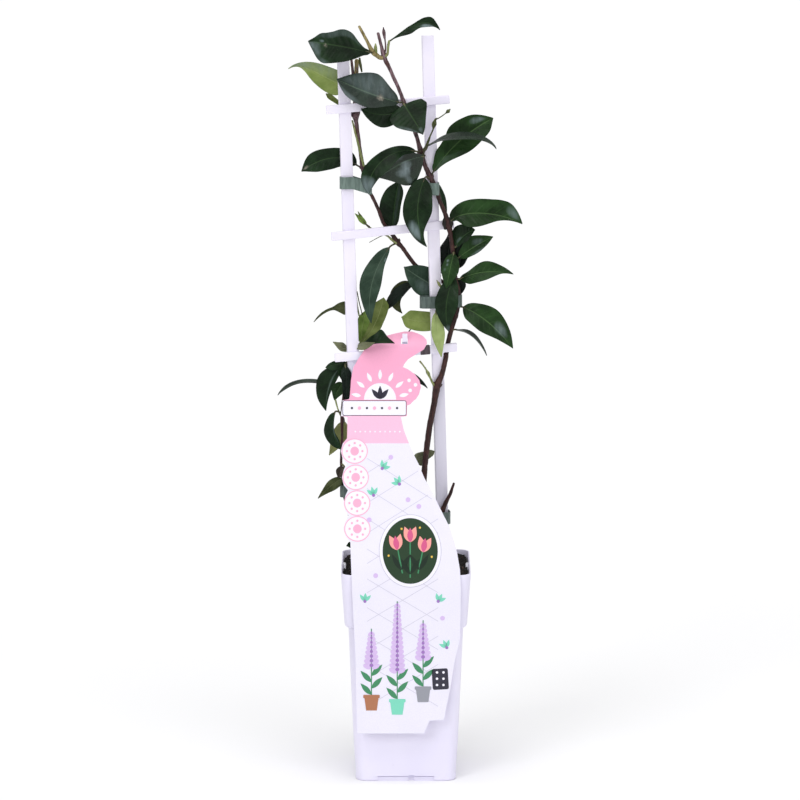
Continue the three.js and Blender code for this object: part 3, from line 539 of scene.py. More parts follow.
def make_soil():
    shape = Shape()
    radius = CORNER_RADIUS
    points = []
    for i in range(SOIL_CELLS + 1):
        for j in range(SOIL_CELLS + 1):
            u = 2 * i / SOIL_CELLS - 1
            v = 2 * j / SOIL_CELLS - 1
            # Squares the corners off to the pot's radius.
            pull = 1 - (radius * 0.3 / SOIL_HALF) * (abs(u) * abs(v)) ** 8
            x, y = u * SOIL_HALF * pull, v * SOIL_HALF * pull
            points.append((x, y, soil_height(x, y)))
    row = SOIL_CELLS + 1
    faces = [(i * row + j, (i + 1) * row + j, (i + 1) * row + j + 1, i * row + j + 1)
             for i in range(SOIL_CELLS) for j in range(SOIL_CELLS)]
    shape.add(points, faces)
    rim = [i * row for i in range(row)] + [SOIL_CELLS * row + j for j in range(1, row)]
    rim += [i * row + SOIL_CELLS for i in range(SOIL_CELLS - 1, -1, -1)]
    rim += [j for j in range(SOIL_CELLS - 1, 0, -1)]
    start = len(shape.points)
    lower = []
    for share, z in SOIL_BELOW:
        lower.append([(points[k][0] * share, points[k][1] * share, z) for k in rim])
    shape.points += [Vector(p) for ring in lower for p in ring]
    shape.marks += [BLANK] * (3 * len(rim))
    count = len(rim)
    for k in range(count):
        after = (k + 1) % count
        shape.faces.append([rim[k], rim[after], start + after, start + k])
        for level in range(2):
            low, high = start + (level + 1) * count, start + level * count
            shape.faces.append([high + k, high + after, low + after, low + k])
    shape.faces.append([start + 2 * count + k for k in range(count)])
    shape.slots = [0] * len(shape.faces)
    soil = shape.build("soil_block", [SOIL])
    finish_piece(soil, "soil", "potting_soil")


def make_soil_bits():
    """Crumbs of bark and grains of perlite that lie on the soil."""
    rng = random.Random(CRUMBS["seed"])
    reach = CRUMBS["reach"]
    shape = Shape()
    for k in range(CRUMBS["count"]):
        x, y = rng.uniform(-reach, reach), rng.uniform(-reach, reach)
        perlite = rng.random() < CRUMBS["perlite"]
        size = rng.uniform(0.5, 1.2) if perlite else rng.uniform(0.6, 1.9)
        centre = Vector((x, y, soil_height(x, y) + size * 0.25))
        turn = Euler([rng.uniform(0, 6.3) for _ in range(3)]).to_matrix()
        stretch = Vector((1, 1, 1)) if perlite else Vector((rng.uniform(1, 2.2), 0.8, 0.45))
        grain = bmesh.new()
        bmesh.ops.create_icosphere(grain, subdivisions=2 if perlite else 1, radius=1)
        points = []
        for vertex in grain.verts:
            rough = 1 + 0.28 * noise.noise(vertex.co * 1.7 + Vector((k, 0, 0)))
            local = Vector([a * b for a, b in zip(vertex.co * rough * size, stretch)])
            points.append(centre + turn @ local)
        faces = [[v.index for v in face.verts] for face in grain.faces]
        grain.free()
        shape.add(points, faces, 1 if perlite else 0)
    bits = shape.build("soil_crumbs", [CRUMB, PERLITE], 60)
    finish_piece(bits, "soil")


# ---------- trellis ----------

TRELLIS = {"x": -9, "y": 11, "yaw": math.radians(10)}
RAIL = {"width": 11, "depth": 5, "wall": 1.6, "foot": 45, "lean": 0.0325, "fillet": 0.9}
# The right rail carries painted shade: it is painted darker low down.
RAILS = {
    "trellis_rail_left": {"along": -41, "top": 688, "painted_shade": False},
    "trellis_rail_right": {"along": 39, "top": 694, "painted_shade": True},
}
RAIL_PLACE_HEIGHT = 400
RUNG = {"length": 116, "height": 8, "depth": 3, "gap": 0.3}
RUNGS = {
    "trellis_rung_top": {"along": -8.5, "up": 631, "tilt": 4},
    "trellis_rung_middle": {"along": -4, "up": 513.7, "tilt": 4.7},
    "trellis_rung_bottom": {"along": -1, "up": 398.5, "tilt": 3.5},
}
RUNG_WRAP = {"from": 23, "to": 32.2, "thickness": 0.35}


def on_trellis(point):
    turned = Matrix.Rotation(TRELLIS["yaw"], 3, "Z") @ Vector(point)
    return turned + Vector((TRELLIS["x"], TRELLIS["y"], 0))


def fillet(corner, before, after, radius, steps=4):
    """Points round a 2-D corner on an arc-like curve that touches both sides."""
    corner, before, after = Vector(corner), Vector(before), Vector(after)
    start = corner + (before - corner).normalized() * radius
    end = corner + (after - corner).normalized() * radius
    shares = [i / steps for i in range(steps + 1)]
    return [start.lerp(corner, t).lerp(corner.lerp(end, t), t) for t in shares]


def rounded_outline(corners, radii):
    points = []
    for i, corner in enumerate(corners):
        points += fillet(corner, corners[i - 1], corners[(i + 1) % len(corners)], radii[i])
    return points


def rail_point(rail, across, depth, height):
    along = rail["along"] + across - RAIL["lean"] * (height - RAIL_PLACE_HEIGHT)
    return on_trellis((along, depth, height))


def make_rail(name, rail):
    half, front, back = RAIL["width"] / 2, -RAIL["depth"] / 2, RAIL["depth"] / 2
    wall, round_edge = RAIL["wall"], RAIL["fillet"]
    corners = [(-half, back), (-half, front), (half, front), (half, back), (half - wall, back),
               (half - wall, front + wall), (-half + wall, front + wall), (-half + wall, back)]
    radii = [0.3, round_edge, round_edge, 0.3, 0.3, 0.5, 0.5, 0.3]
    outline = rounded_outline(corners, radii)
    centre = Vector((0, front + wall / 2))
    length = rail["top"] - RAIL["foot"]
    heights = [0, 0.5] + [length * i / 40 for i in range(1, 40)] + [length - 0.5, length]
    rings = []
    for i, up in enumerate(heights):
        shrink = 0.93 if i in (0, len(heights) - 1) else 1
        z = RAIL["foot"] + up
        # The pointed foot is hidden in the soil, and the thin strip is never quite straight.
        bend = 0.18 * math.sin(z * 0.017 + rail["along"])
        ring = []
        for p in outline:
            local = centre + (p - centre) * shrink if shrink < 1 else p
            ring.append(rail_point(rail, local.x + bend, local.y, z))
        rings.append(ring)
    shape = Shape()
    shape.loft(rings)
    piece = shape.build(name + "_moulded", [SHADED_RAIL_PLASTIC if rail["painted_shade"] else TRELLIS_PLASTIC])
    finish_piece(piece, "trellis_plastic", name)


def rung_place(rung, length, depth, height):
    """A point of a rung from its length, depth and height on the strip."""
    tilt = math.radians(rung["tilt"])
    along = rung["along"] + length * math.cos(tilt) - height * math.sin(tilt)
    up = rung["up"] + length * math.sin(tilt) + height * math.cos(tilt)
    middle = -(RAIL["depth"] + RUNG["depth"]) / 2 - RUNG["gap"]
    return on_trellis((along, middle + depth, up))


def rung_rings(rung, start, end, grow, steps):
    half_depth, half_height = RUNG["depth"] / 2 + grow, RUNG["height"] / 2 + grow
    corners = [(-half_depth, -half_height), (half_depth, -half_height),
               (half_depth, half_height), (-half_depth, half_height)]
    outline = rounded_outline(corners, [0.8, 0.4, 0.4, 0.8])
    places = [start, start + 0.5] + [start + (end - start) * i / steps for i in range(1, steps)]
    places += [end - 0.5, end]
    rings = []
    for i, place in enumerate(places):
        shrink = 0.88 if i in (0, len(places) - 1) else 1
        rings.append([rung_place(rung, place, p.x * shrink, p.y * shrink) for p in outline])
    return rings


def make_rung(name, rung):
    shape = Shape()
    half = RUNG["length"] / 2
    shape.loft(rung_rings(rung, -half, half, 0, 20))
    piece = shape.build(name + "_moulded", [TRELLIS_PLASTIC])
    finish_piece(piece, "trellis_plastic", name)


def make_rung_wrap():
    """A turn of dark tape round the lowest rung, beside the right rail."""
    rung = RUNGS["trellis_rung_bottom"]
    shape = Shape()
    shape.loft(rung_rings(rung, RUNG_WRAP["from"], RUNG_WRAP["to"], RUNG_WRAP["thickness"], 6))
    piece = shape.build("rung_tape", [DARK_TAPE])
    finish_piece(piece, "tape")


# ---------- tape ties ----------

TAPE = {"thickness": 0.5, "height": 11.3, "bow": 0.12, "ripple": 0.1}
TAPE_LEVELS = (0, 0.12, 0.3, 0.5, 0.7, 0.88, 1)  # shares of the height
# The two points that each loop goes round, its lower edge, its inner radius, its slope, and whether its
# tape is painted darker as painted shade.
TIES = {
    "tie_left_upper": {"from": (-57, 2.2), "to": (-35.9, 7.3), "bottom": 553, "inside": 4,
                       "drop": 0.34, "drop_after": -49, "in_painted_shade": False},
    "tie_right_upper": {"from": (24.6, 16.4), "to": (25.4, 9.6), "bottom": 547, "inside": 5.2,
                        "drop": 0.06, "drop_after": 20, "in_painted_shade": False},
    "tie_right_middle": {"from": (18, 15.6), "to": (47.6, 18), "bottom": 439.2, "inside": 4.6,
                         "drop": -0.03, "drop_after": 20, "in_painted_shade": True},
    "tie_right_lower": {"from": (34, 18.7), "to": (35, 12.4), "bottom": 235.2, "inside": 6.6,
                        "drop": 0.04, "drop_after": 30, "in_painted_shade": True},
    "tie_left_lower": {"from": (-57.3, 0.2), "to": (-41.6, 5.2), "bottom": 262.5, "inside": 4,
                       "drop": -0.05, "drop_after": -55, "in_painted_shade": True},
}


def tie_loop(tie, radius, arc_steps=18, straight_steps=14):
    """The tape's route round its two points, seen from above."""
    start, end = Vector(tie["from"]), Vector(tie["to"])
    angle = math.atan2(end.y - start.y, end.x - start.x)
    route = []
    for centre, turn in ((end, angle - math.pi / 2), (start, angle + math.pi / 2)):
        arc = []
        for i in range(arc_steps + 1):
            a = turn + math.pi * i / arc_steps
            arc.append(centre + Vector((math.cos(a), math.sin(a))) * radius)
        if route:
            route += [route[-1].lerp(arc[0], i / straight_steps) for i in range(1, straight_steps)]
        route += arc
    first = route[0]
    route += [route[-1].lerp(first, i / straight_steps) for i in range(1, straight_steps)]
    return route


def make_tie(name, tie):
    outer = tie_loop(tie, tie["inside"] + TAPE["thickness"])
    inner = tie_loop(tie, tie["inside"])
    rings = []
    for k, (out, inn) in enumerate(zip(outer, inner)):
        sag = -tie["drop"] * max(0, out.x - tie["drop_after"])
        ripple = TAPE["ripple"] * math.sin(k * 0.3)
        ring = []
        for side, levels in ((out, TAPE_LEVELS), (inn, TAPE_LEVELS[::-1])):
            for level in levels:
                bow = TAPE["bow"] * math.sin(math.pi * level) * math.sin(k * 0.2)
                z = tie["bottom"] + TAPE["height"] * level + sag + ripple * (1 - level)
                ring.append((side.x, side.y + bow * 0.4, z))
        rings.append(ring)
    rings.append(rings[0])
    shape = Shape()
    shape.loft(rings, caps=False)
    piece = shape.build(name + "_tape", [TAPE_PAINTED_SHADE if tie["in_painted_shade"] else TAPE_GREY])
    work = bmesh.new()
    work.from_mesh(piece.data)
    bmesh.ops.remove_doubles(work, verts=work.verts, dist=1e-7)
    work.to_mesh(piece.data)
    work.free()
    smooth(piece.data, 40)
    finish_piece(piece, "tape", name)


# ---------- plant card ----------

CARD = {"thickness": 0.6, "hangs": -62.8, "lean": 0.297, "bend_height": 201, "bend_length": 8}
CARD_CURL = {"from": 401, "rate": 0.033}
# The card's outline: height, left edge, right edge.
CARD_OUTLINE = [
    (50, -45.4, 16.8), (62.3, -45.6, 22.4), (62.9, -45.6, 35.3), (91, -46.4, 41),
    (120, -46.8, 45.6), (140, -47.7, 50.2), (187, -50, 51.1), (205, -50.6, 50.2),
    (221, -51.2, 47.4), (230.5, -51.5, 44.7),
    (235, -56, 43.2), (242, -57.8, 41), (249, -56, 37.8), (254, -53.3, 35),
    (258, -56, 33), (265, -57.8, 29.4), (272, -56, 25.8), (276.5, -53.8, 23.4),
    (281, -57.6, 20.8), (288, -59.4, 16.9), (295, -57.6, 13.8), (300, -54.7, 11.8),
    (304.5, -58.6, 9.4), (311.5, -60.5, 5.7), (318.5, -58.6, 2.8), (323, -54.7, 1),
    (330, -54.5, -1.8), (342, -54.3, -4.6), (343, -60.4, 0.9), (352.5, -59.2, 1.2),
    (353.5, -59.2, 4), (357, -59.1, 7.6), (358.2, -52.4, 9.4), (362.5, -52, 12.2),
    (369, -51.5, 14.1), (375, -51.1, 12.7), (380.5, -50.2, 8.5), (385, -49.2, 2),
    (387, -48.8, -2.7), (390, -46.9, -1.3), (394, -44.6, 2), (398, -41.8, 8.5),
    (403, -38.5, 16.9), (408, -33.9, 19.7), (411, -27.8, 19.2), (414, -19.4, 16),
    (416, -10.1, 11.3), (417.5, -1.7, 5.7),
]
CARD_SLOT = {"left": -4.6, "right": 1.8, "bottom": 407.6, "top": 412.3}
CARD_COLUMNS = 26
# Heights where the print's ground changes, from the top down.
HEAD_FOOT, BANNER_FOOT, BAND_FOOT = 357.5, 342.6, 318


def card_depth(z):
    over = (z - CARD["bend_height"]) / CARD["bend_length"]
    rise = CARD["bend_length"] * math.log1p(math.exp(over))
    return CARD["hangs"] + CARD["lean"] * rise + CARD_CURL["rate"] * max(0, z - CARD_CURL["from"]) ** 2


def card_point(x, z, proud=0.0):
    """A point on the card's middle sheet, moved proud millimetres to the front."""
    slope = card_depth(z + 0.5) - card_depth(z - 0.5)
    scale = proud / math.hypot(1, slope)
    return Vector((x, card_depth(z) - scale, z + slope * scale))


def card_rows():
    rows = []
    for low, high in zip(CARD_OUTLINE, CARD_OUTLINE[1:]):
        steps = max(1, round((high[0] - low[0]) / 2.5))
        rows += [[a + (b - a) * k / steps for a, b in zip(low, high)] for k in range(steps)]
    rows.append(list(CARD_OUTLINE[-1]))
    return rows


def ground_slot(x, z):
    if z > BANNER_FOOT:
        return 2 if z < HEAD_FOOT and x < -50 else 1
    return 3 if z > BAND_FOOT else 4


def make_card():
    shape = Shape()
    rows = card_rows()
    half = CARD["thickness"] / 2
    sides = 2 * (CARD_COLUMNS + 1)
    points = []
    for z, left, right in rows:
        xs = [left + (right - left) * k / CARD_COLUMNS for k in range(CARD_COLUMNS + 1)]
        points += [card_point(x, z, half) for x in xs]
        points += [card_point(x, z, -half) for x in reversed(xs)]
    faces, slots = [], []
    for r in range(len(rows) - 1):
        middle = (rows[r][0] + rows[r + 1][0]) / 2
        for s in range(sides):
            a, b = r * sides + s, r * sides + (s + 1) % sides
            faces.append((a, b, b + sides, a + sides))
            place = rows[r][1] + (rows[r][2] - rows[r][1]) * (s + 0.5) / CARD_COLUMNS
            slots.append(ground_slot(place, middle) if s < CARD_COLUMNS else 0)
    last = (len(rows) - 1) * sides
    faces += [tuple(range(sides)), tuple(range(last, last + sides))]
    slots += [0, 0]
    shape.add(points, faces)
    shape.slots = slots
    piece = shape.build("card_sheet", [CARD_WHITE, CARD_PINK, CARD_WHITE, CARD_PALE, CARD_PLANK], 30)
    hole = block("cutter", (CARD_SLOT["left"], -10, CARD_SLOT["bottom"]),
                 (CARD_SLOT["right"], 20, CARD_SLOT["top"]))
    cut(piece, [hole])
    smooth(piece.data, 30, outward=False)
    finish_piece(piece, "card", "plant_card")


class Print:
    """Flat printed shapes laid on the card's front, one layer of ink over another."""

    FIRST_PROUD = 0.36
    LAYER = 0.05
    BENT = (176, 228)  # heights where the card bends, so that the print is cut to follow it
    CURLED = 399  # the card curls above this height
    CUT_STEP = 3

    def __init__(self):
        self.shape = Shape()
        self.inks = []

    def lay(self, outline, ink, layer=0):
        if ink not in self.inks:
            self.inks.append(ink)
        work = bmesh.new()
        work.faces.new([work.verts.new((x, z, 0)) for x, z in outline])
        bmesh.ops.triangulate(work, faces=work.faces[:])
        low = min(z for _, z in outline)
        high = max(z for _, z in outline)
        level = math.ceil(low / self.CUT_STEP) * self.CUT_STEP
        while level < high:
            if self.BENT[0] < level < self.BENT[1] or level > self.CURLED:
                everything = work.verts[:] + work.edges[:] + work.faces[:]
                bmesh.ops.bisect_plane(work, geom=everything, plane_co=(0, level, 0), plane_no=(0, 1, 0))
            level += self.CUT_STEP
        proud = self.FIRST_PROUD + self.LAYER * layer
        work.verts.index_update()
        points = [card_point(v.co.x, v.co.y, proud) for v in work.verts]
        faces = []
        for face in work.faces:
            order = [v.index for v in face.verts]
            faces.append(order if face.normal.z > 0 else order[::-1])
        work.free()
        self.shape.add(points, faces, self.inks.index(ink))

    def dots(self, spots, radius, ink, layer, steps):
        for x, z in spots:
            self.lay(oval(x, z, radius, radius, 0, steps), ink, layer)

    def build(self):
        piece = self.shape.build("card_print", [INKS[ink] for ink in self.inks], outward=False)
        finish_piece(piece, "card")


def placed(points, cx, cz, turn):
    """An outline turned about its own origin and moved to its place."""
    c, s = math.cos(turn), math.sin(turn)
    return [(cx + x * c - z * s, cz + x * s + z * c) for x, z in points]


def around(cx, cz, radius, turn):
    return (cx + radius * math.cos(turn), cz + radius * math.sin(turn))


def oval(cx, cz, rx, rz, turn=0, steps=28):
    angles = [2 * math.pi * i / steps for i in range(steps)]
    return placed([(rx * math.cos(a), rz * math.sin(a)) for a in angles], cx, cz, turn)


def panel(cx, cz, width, height, radius, turn=0):
    w, h = width / 2, height / 2
    outline = rounded_outline([(-w, -h), (w, -h), (w, h), (-w, h)], [radius] * 4)
    return placed(outline, cx, cz, turn)


def leaflet(cx, cz, length, width, turn, steps=8):
    """A pointed leaf outline that starts at its base."""
    edge = [(i / steps * length, width / 2 * math.sin(math.pi * (i / steps) ** 0.85))
            for i in range(steps + 1)]
    return placed([(x, -half) for x, half in edge] + edge[-2:0:-1], cx, cz, turn)


def stripe(x0, z0, x1, z1, width):
    along = Vector((x1 - x0, z1 - z0)).normalized()
    off = Vector((-along.y, along.x)) * width / 2
    return [(x0 - off.x, z0 - off.y), (x1 - off.x, z1 - off.y), (x1 + off.x, z1 + off.y),
            (x0 + off.x, z0 + off.y)]


# Centres of the round bumps down the card's left edge, and their reach sideways and upwards.
BUMPS = [(-47.6, 311.5), (-46.6, 288), (-45.2, 265), (-45, 242)]
BUMP_REACH = (12.2, 11.4)
BUMP_RING = 0.9
BANNER = {"left": -59, "right": 0.6, "bottom": 343.2, "top": 357}
SUN = {"x": -24, "radius": 15, "rays_from": 18, "rays": 7}
LATTICE = {"left": -36, "right": 30, "first": 76, "step": 27, "lines": 9, "rise": 40, "top": 305,
           "width": 0.5, "margin": 3}
MEDALLION = {"x": 4, "z": 222}
# Each spike: its middle, the pot's foot, the top, and the pot's ink.
SPIKES = [(-32, 72, 150, "copper"), (-8, 68, 176, "mint"), (16, 80, 158, "steel")]
SPRIGS = [(-22, 296, 0.9), (-6, 282, 2.3), (-30, 272, 1.8), (30, 176, 1.1), (38, 132, 2), (-38, 176, 1.5)]
LOOSE_DOTS = [(-14, 306), (2, 268), (12, 262), (-34, 250), (34, 160), (-28, 200)]


def print_head(prints):
    """A rising sun over the banner, with leaves for rays."""
    x, z = SUN["x"], BANNER["top"] + 0.6
    prints.lay([around(x, z, SUN["radius"], math.pi * k / 30) for k in range(31)], "white", 1)
    for k in range(SUN["rays"]):
        turn = math.pi * (0.06 + 0.88 * k / (SUN["rays"] - 1))
        prints.lay(leaflet(*around(x, z, SUN["rays_from"], turn), 9.5, 3.6, turn), "white", 1)
    for turn in (0.85, 1.57, 2.29):
        prints.lay(leaflet(x, z + 0.6, 12, 4.4, turn), "dark", 2)
    prints.dots(((4, 366), (9, 371), (3, 375)), 1.7, "white", 1, 16)


def print_banner(prints):
    width, height = BANNER["right"] - BANNER["left"], BANNER["top"] - BANNER["bottom"]
    x, z = (BANNER["left"] + BANNER["right"]) / 2, (BANNER["bottom"] + BANNER["top"]) / 2
    prints.lay(panel(x, z, width, height, 2), "dark", 1)
    prints.lay(panel(x, z, width - 1.1, height - 1.1, 1.6), "white", 2)
    for k in range(7):
        prints.dots([(x - 21 + 7 * k, z)], 1.1 + 0.5 * (k % 2), "pink" if k % 2 else "dark", 3, 14)
    prints.dots([(-47 + 4.6 * k, 329) for k in range(10)], 0.8, "white", 1, 10)


def card_right(z):
    """The card's right edge at a height, or 0 above and below the card."""
    for low, high in zip(CARD_OUTLINE, CARD_OUTLINE[1:]):
        if low[0] < z <= high[0]:
            return low[2] + (high[2] - low[2]) * (z - low[0]) / (high[0] - low[0])
    return 0


def clip_right(x0, z0, x1, z1):
    """Shortens a line until both of its ends lie on the card."""
    for _ in range(60):
        if x0 > card_right(z0) - LATTICE["margin"]:
            x0, z0 = x0 + (x1 - x0) * 0.03, z0 + (z1 - z0) * 0.03
        if x1 > card_right(z1) - LATTICE["margin"]:
            x1, z1 = x1 + (x0 - x1) * 0.03, z1 + (z0 - z1) * 0.03
    return x0, z0, x1, z1


def print_lattice(prints):
    """Rosettes down the card's left edge, and a pale garden lattice over the card."""
    for x, z in BUMPS:
        for ring, ink, layer in ((0, "pink", 1), (BUMP_RING, "white", 2)):
            reach_x, reach_z = BUMP_REACH
            prints.lay(oval(x, z, reach_x - ring, reach_z - ring, 0, 48), ink, layer)
        prints.dots([(x, z)], 4, "pink", 3, 24)
        prints.dots([around(x, z, 7.2, math.pi * k / 4) for k in range(8)], 1.1, "pink", 3, 10)
    left, right, top = LATTICE["left"], LATTICE["right"], LATTICE["top"]
    for k in range(LATTICE["lines"]):
        for x0, x1 in ((right, left), (left, right)):
            z0 = LATTICE["first"] + LATTICE["step"] * k
            z1 = z0 + LATTICE["rise"]
            if z1 > top:
                x1, z1 = x0 + (x1 - x0) * (top - z0) / (z1 - z0), top
            if z0 < top - 6:
                line = clip_right(x0, z0, x1, z1)
                if line[0] < card_right(line[1]):
                    prints.lay(stripe(*line, LATTICE["width"]), "shade", 0)


def print_spikes(prints):
    """Three tall lilac flower spikes in small pots, on the lower half."""
    for x, foot, top, pot_ink in SPIKES:
        prints.lay(stripe(x, foot + 10, x, top, 1), "green", 1)
        pot = [(x - 5, foot), (x + 5, foot), (x + 6.6, foot + 12), (x - 6.6, foot + 12)]
        prints.lay(pot, pot_ink, 2)
        prints.lay(panel(x, foot + 13.4, 15.4, 3.2, 0.8), pot_ink, 3)
        for k, side in enumerate((-1, 1, -1, 1)):
            prints.lay(leaflet(x, foot + 15 + 6 * k, 15, 5, math.pi / 2 - side * 0.75), "green", 1)
        count = int((top - foot - 40) / 4.4)
        for k in range(count):
            z = foot + 42 + 4.4 * k
            wide = 6.4 - 4.6 * k / count
            for side in (-1, 1):
                petal = oval(x + side * wide * 0.62, z, wide * 0.62, 2.3, side * 0.5, 16)
                prints.lay(petal, "lilac", 2)
            prints.lay(oval(x, z + 1.2, wide * 0.3, 1.7, 0, 12), "violet", 3)


def print_medallion(prints):
    """A dark green oval with salmon tulips."""
    x, z = MEDALLION["x"], MEDALLION["z"]
    for rx, rz, ink, layer in ((29, 33, "shade", 1), (28.4, 32.4, "white", 2), (25.6, 29.6, "forest", 3)):
        prints.lay(oval(x, z, rx, rz, 0, 56), ink, layer)
    upright = math.pi / 2
    for dx, foot, top, turn in ((-12, -20, 4, 0.16), (0, -24, 11, 0), (12, -20, 2, -0.16)):
        head_x, head_z = x + dx, z + top
        prints.lay(stripe(x + dx * 0.6, z + foot, head_x, head_z, 1.2), "green", 4)
        for side in (-1, 1):
            blade = leaflet(x + dx * 0.7, z + foot + 3, 17, 4.6, upright - side * 0.55)
            prints.lay(blade, "moss", 4)
            petal = leaflet(head_x, head_z - 3, 15, 7, upright + turn - side * 0.36)
            prints.lay(petal, "salmon", 5)
        prints.lay(leaflet(head_x, head_z - 3, 13, 5.4, upright + turn), "rose", 6)
    specks = ((-17, 8), (-8, 20), (9, 21), (18, 8), (-20, -4), (20, -5))
    prints.dots([(x + dx, z + dz) for dx, dz in specks], 1, "yellow", 4, 10)


def print_sprigs(prints):
    """Mint sprigs and lilac dots in the free corners, and a dark tile."""
    for x, z, turn in SPRIGS:
        for lift in (-0.7, 0, 0.7):
            prints.lay(leaflet(x, z, 8, 3.2, turn + lift), "mint", 1)
        prints.dots([(x, z)], 1.5, "violet", 2, 12)
    prints.dots(LOOSE_DOTS, 2.2, "lilac", 1, 16)
    prints.lay(panel(32, 102, 15, 20, 2, 0.06), "dark", 1)
    grid = [(29 + 6 * column, 96.4 + 6 * row) for row in range(3) for column in range(2)]
    prints.dots(grid, 1.2, "white", 2, 10)


def make_print():
    prints = Print()
    for part in (print_lattice, print_head, print_banner, print_spikes, print_medallion, print_sprigs):
        part(prints)
    prints.build()


# ---------- card hook ----------

HOOK = {"left": -3.3, "right": 1.5, "round": 0.5, "edge": 0.4}
# The hook's side view: depth and height of each corner.
HOOK_OUTLINE = [
    (9, 403.6), (9, 412), (3.4, 412), (1.4, 417.4), (-0.6, 417), (0.8, 409.4), (6.8, 409.4), (6.8, 403.6),
]


def make_hook():
    outline = rounded_outline([Vector(p) for p in HOOK_OUTLINE], [HOOK["round"]] * len(HOOK_OUTLINE))
    middle = Vector((4, 411))
    rings = []
    left, right, edge = HOOK["left"], HOOK["right"], HOOK["edge"]
    for x, shrink in ((left, 0.96), (left + edge, 1), (right - edge, 1), (right, 0.96)):
        rings.append([(x, *(middle + (p - middle) * shrink)) for p in outline])
    shape = Shape()
    shape.loft(rings)
    piece = shape.build("hook_moulded", [TRELLIS_PLASTIC])
    finish_piece(piece, "trellis_plastic", "card_hook")


# ---------- stems ----------

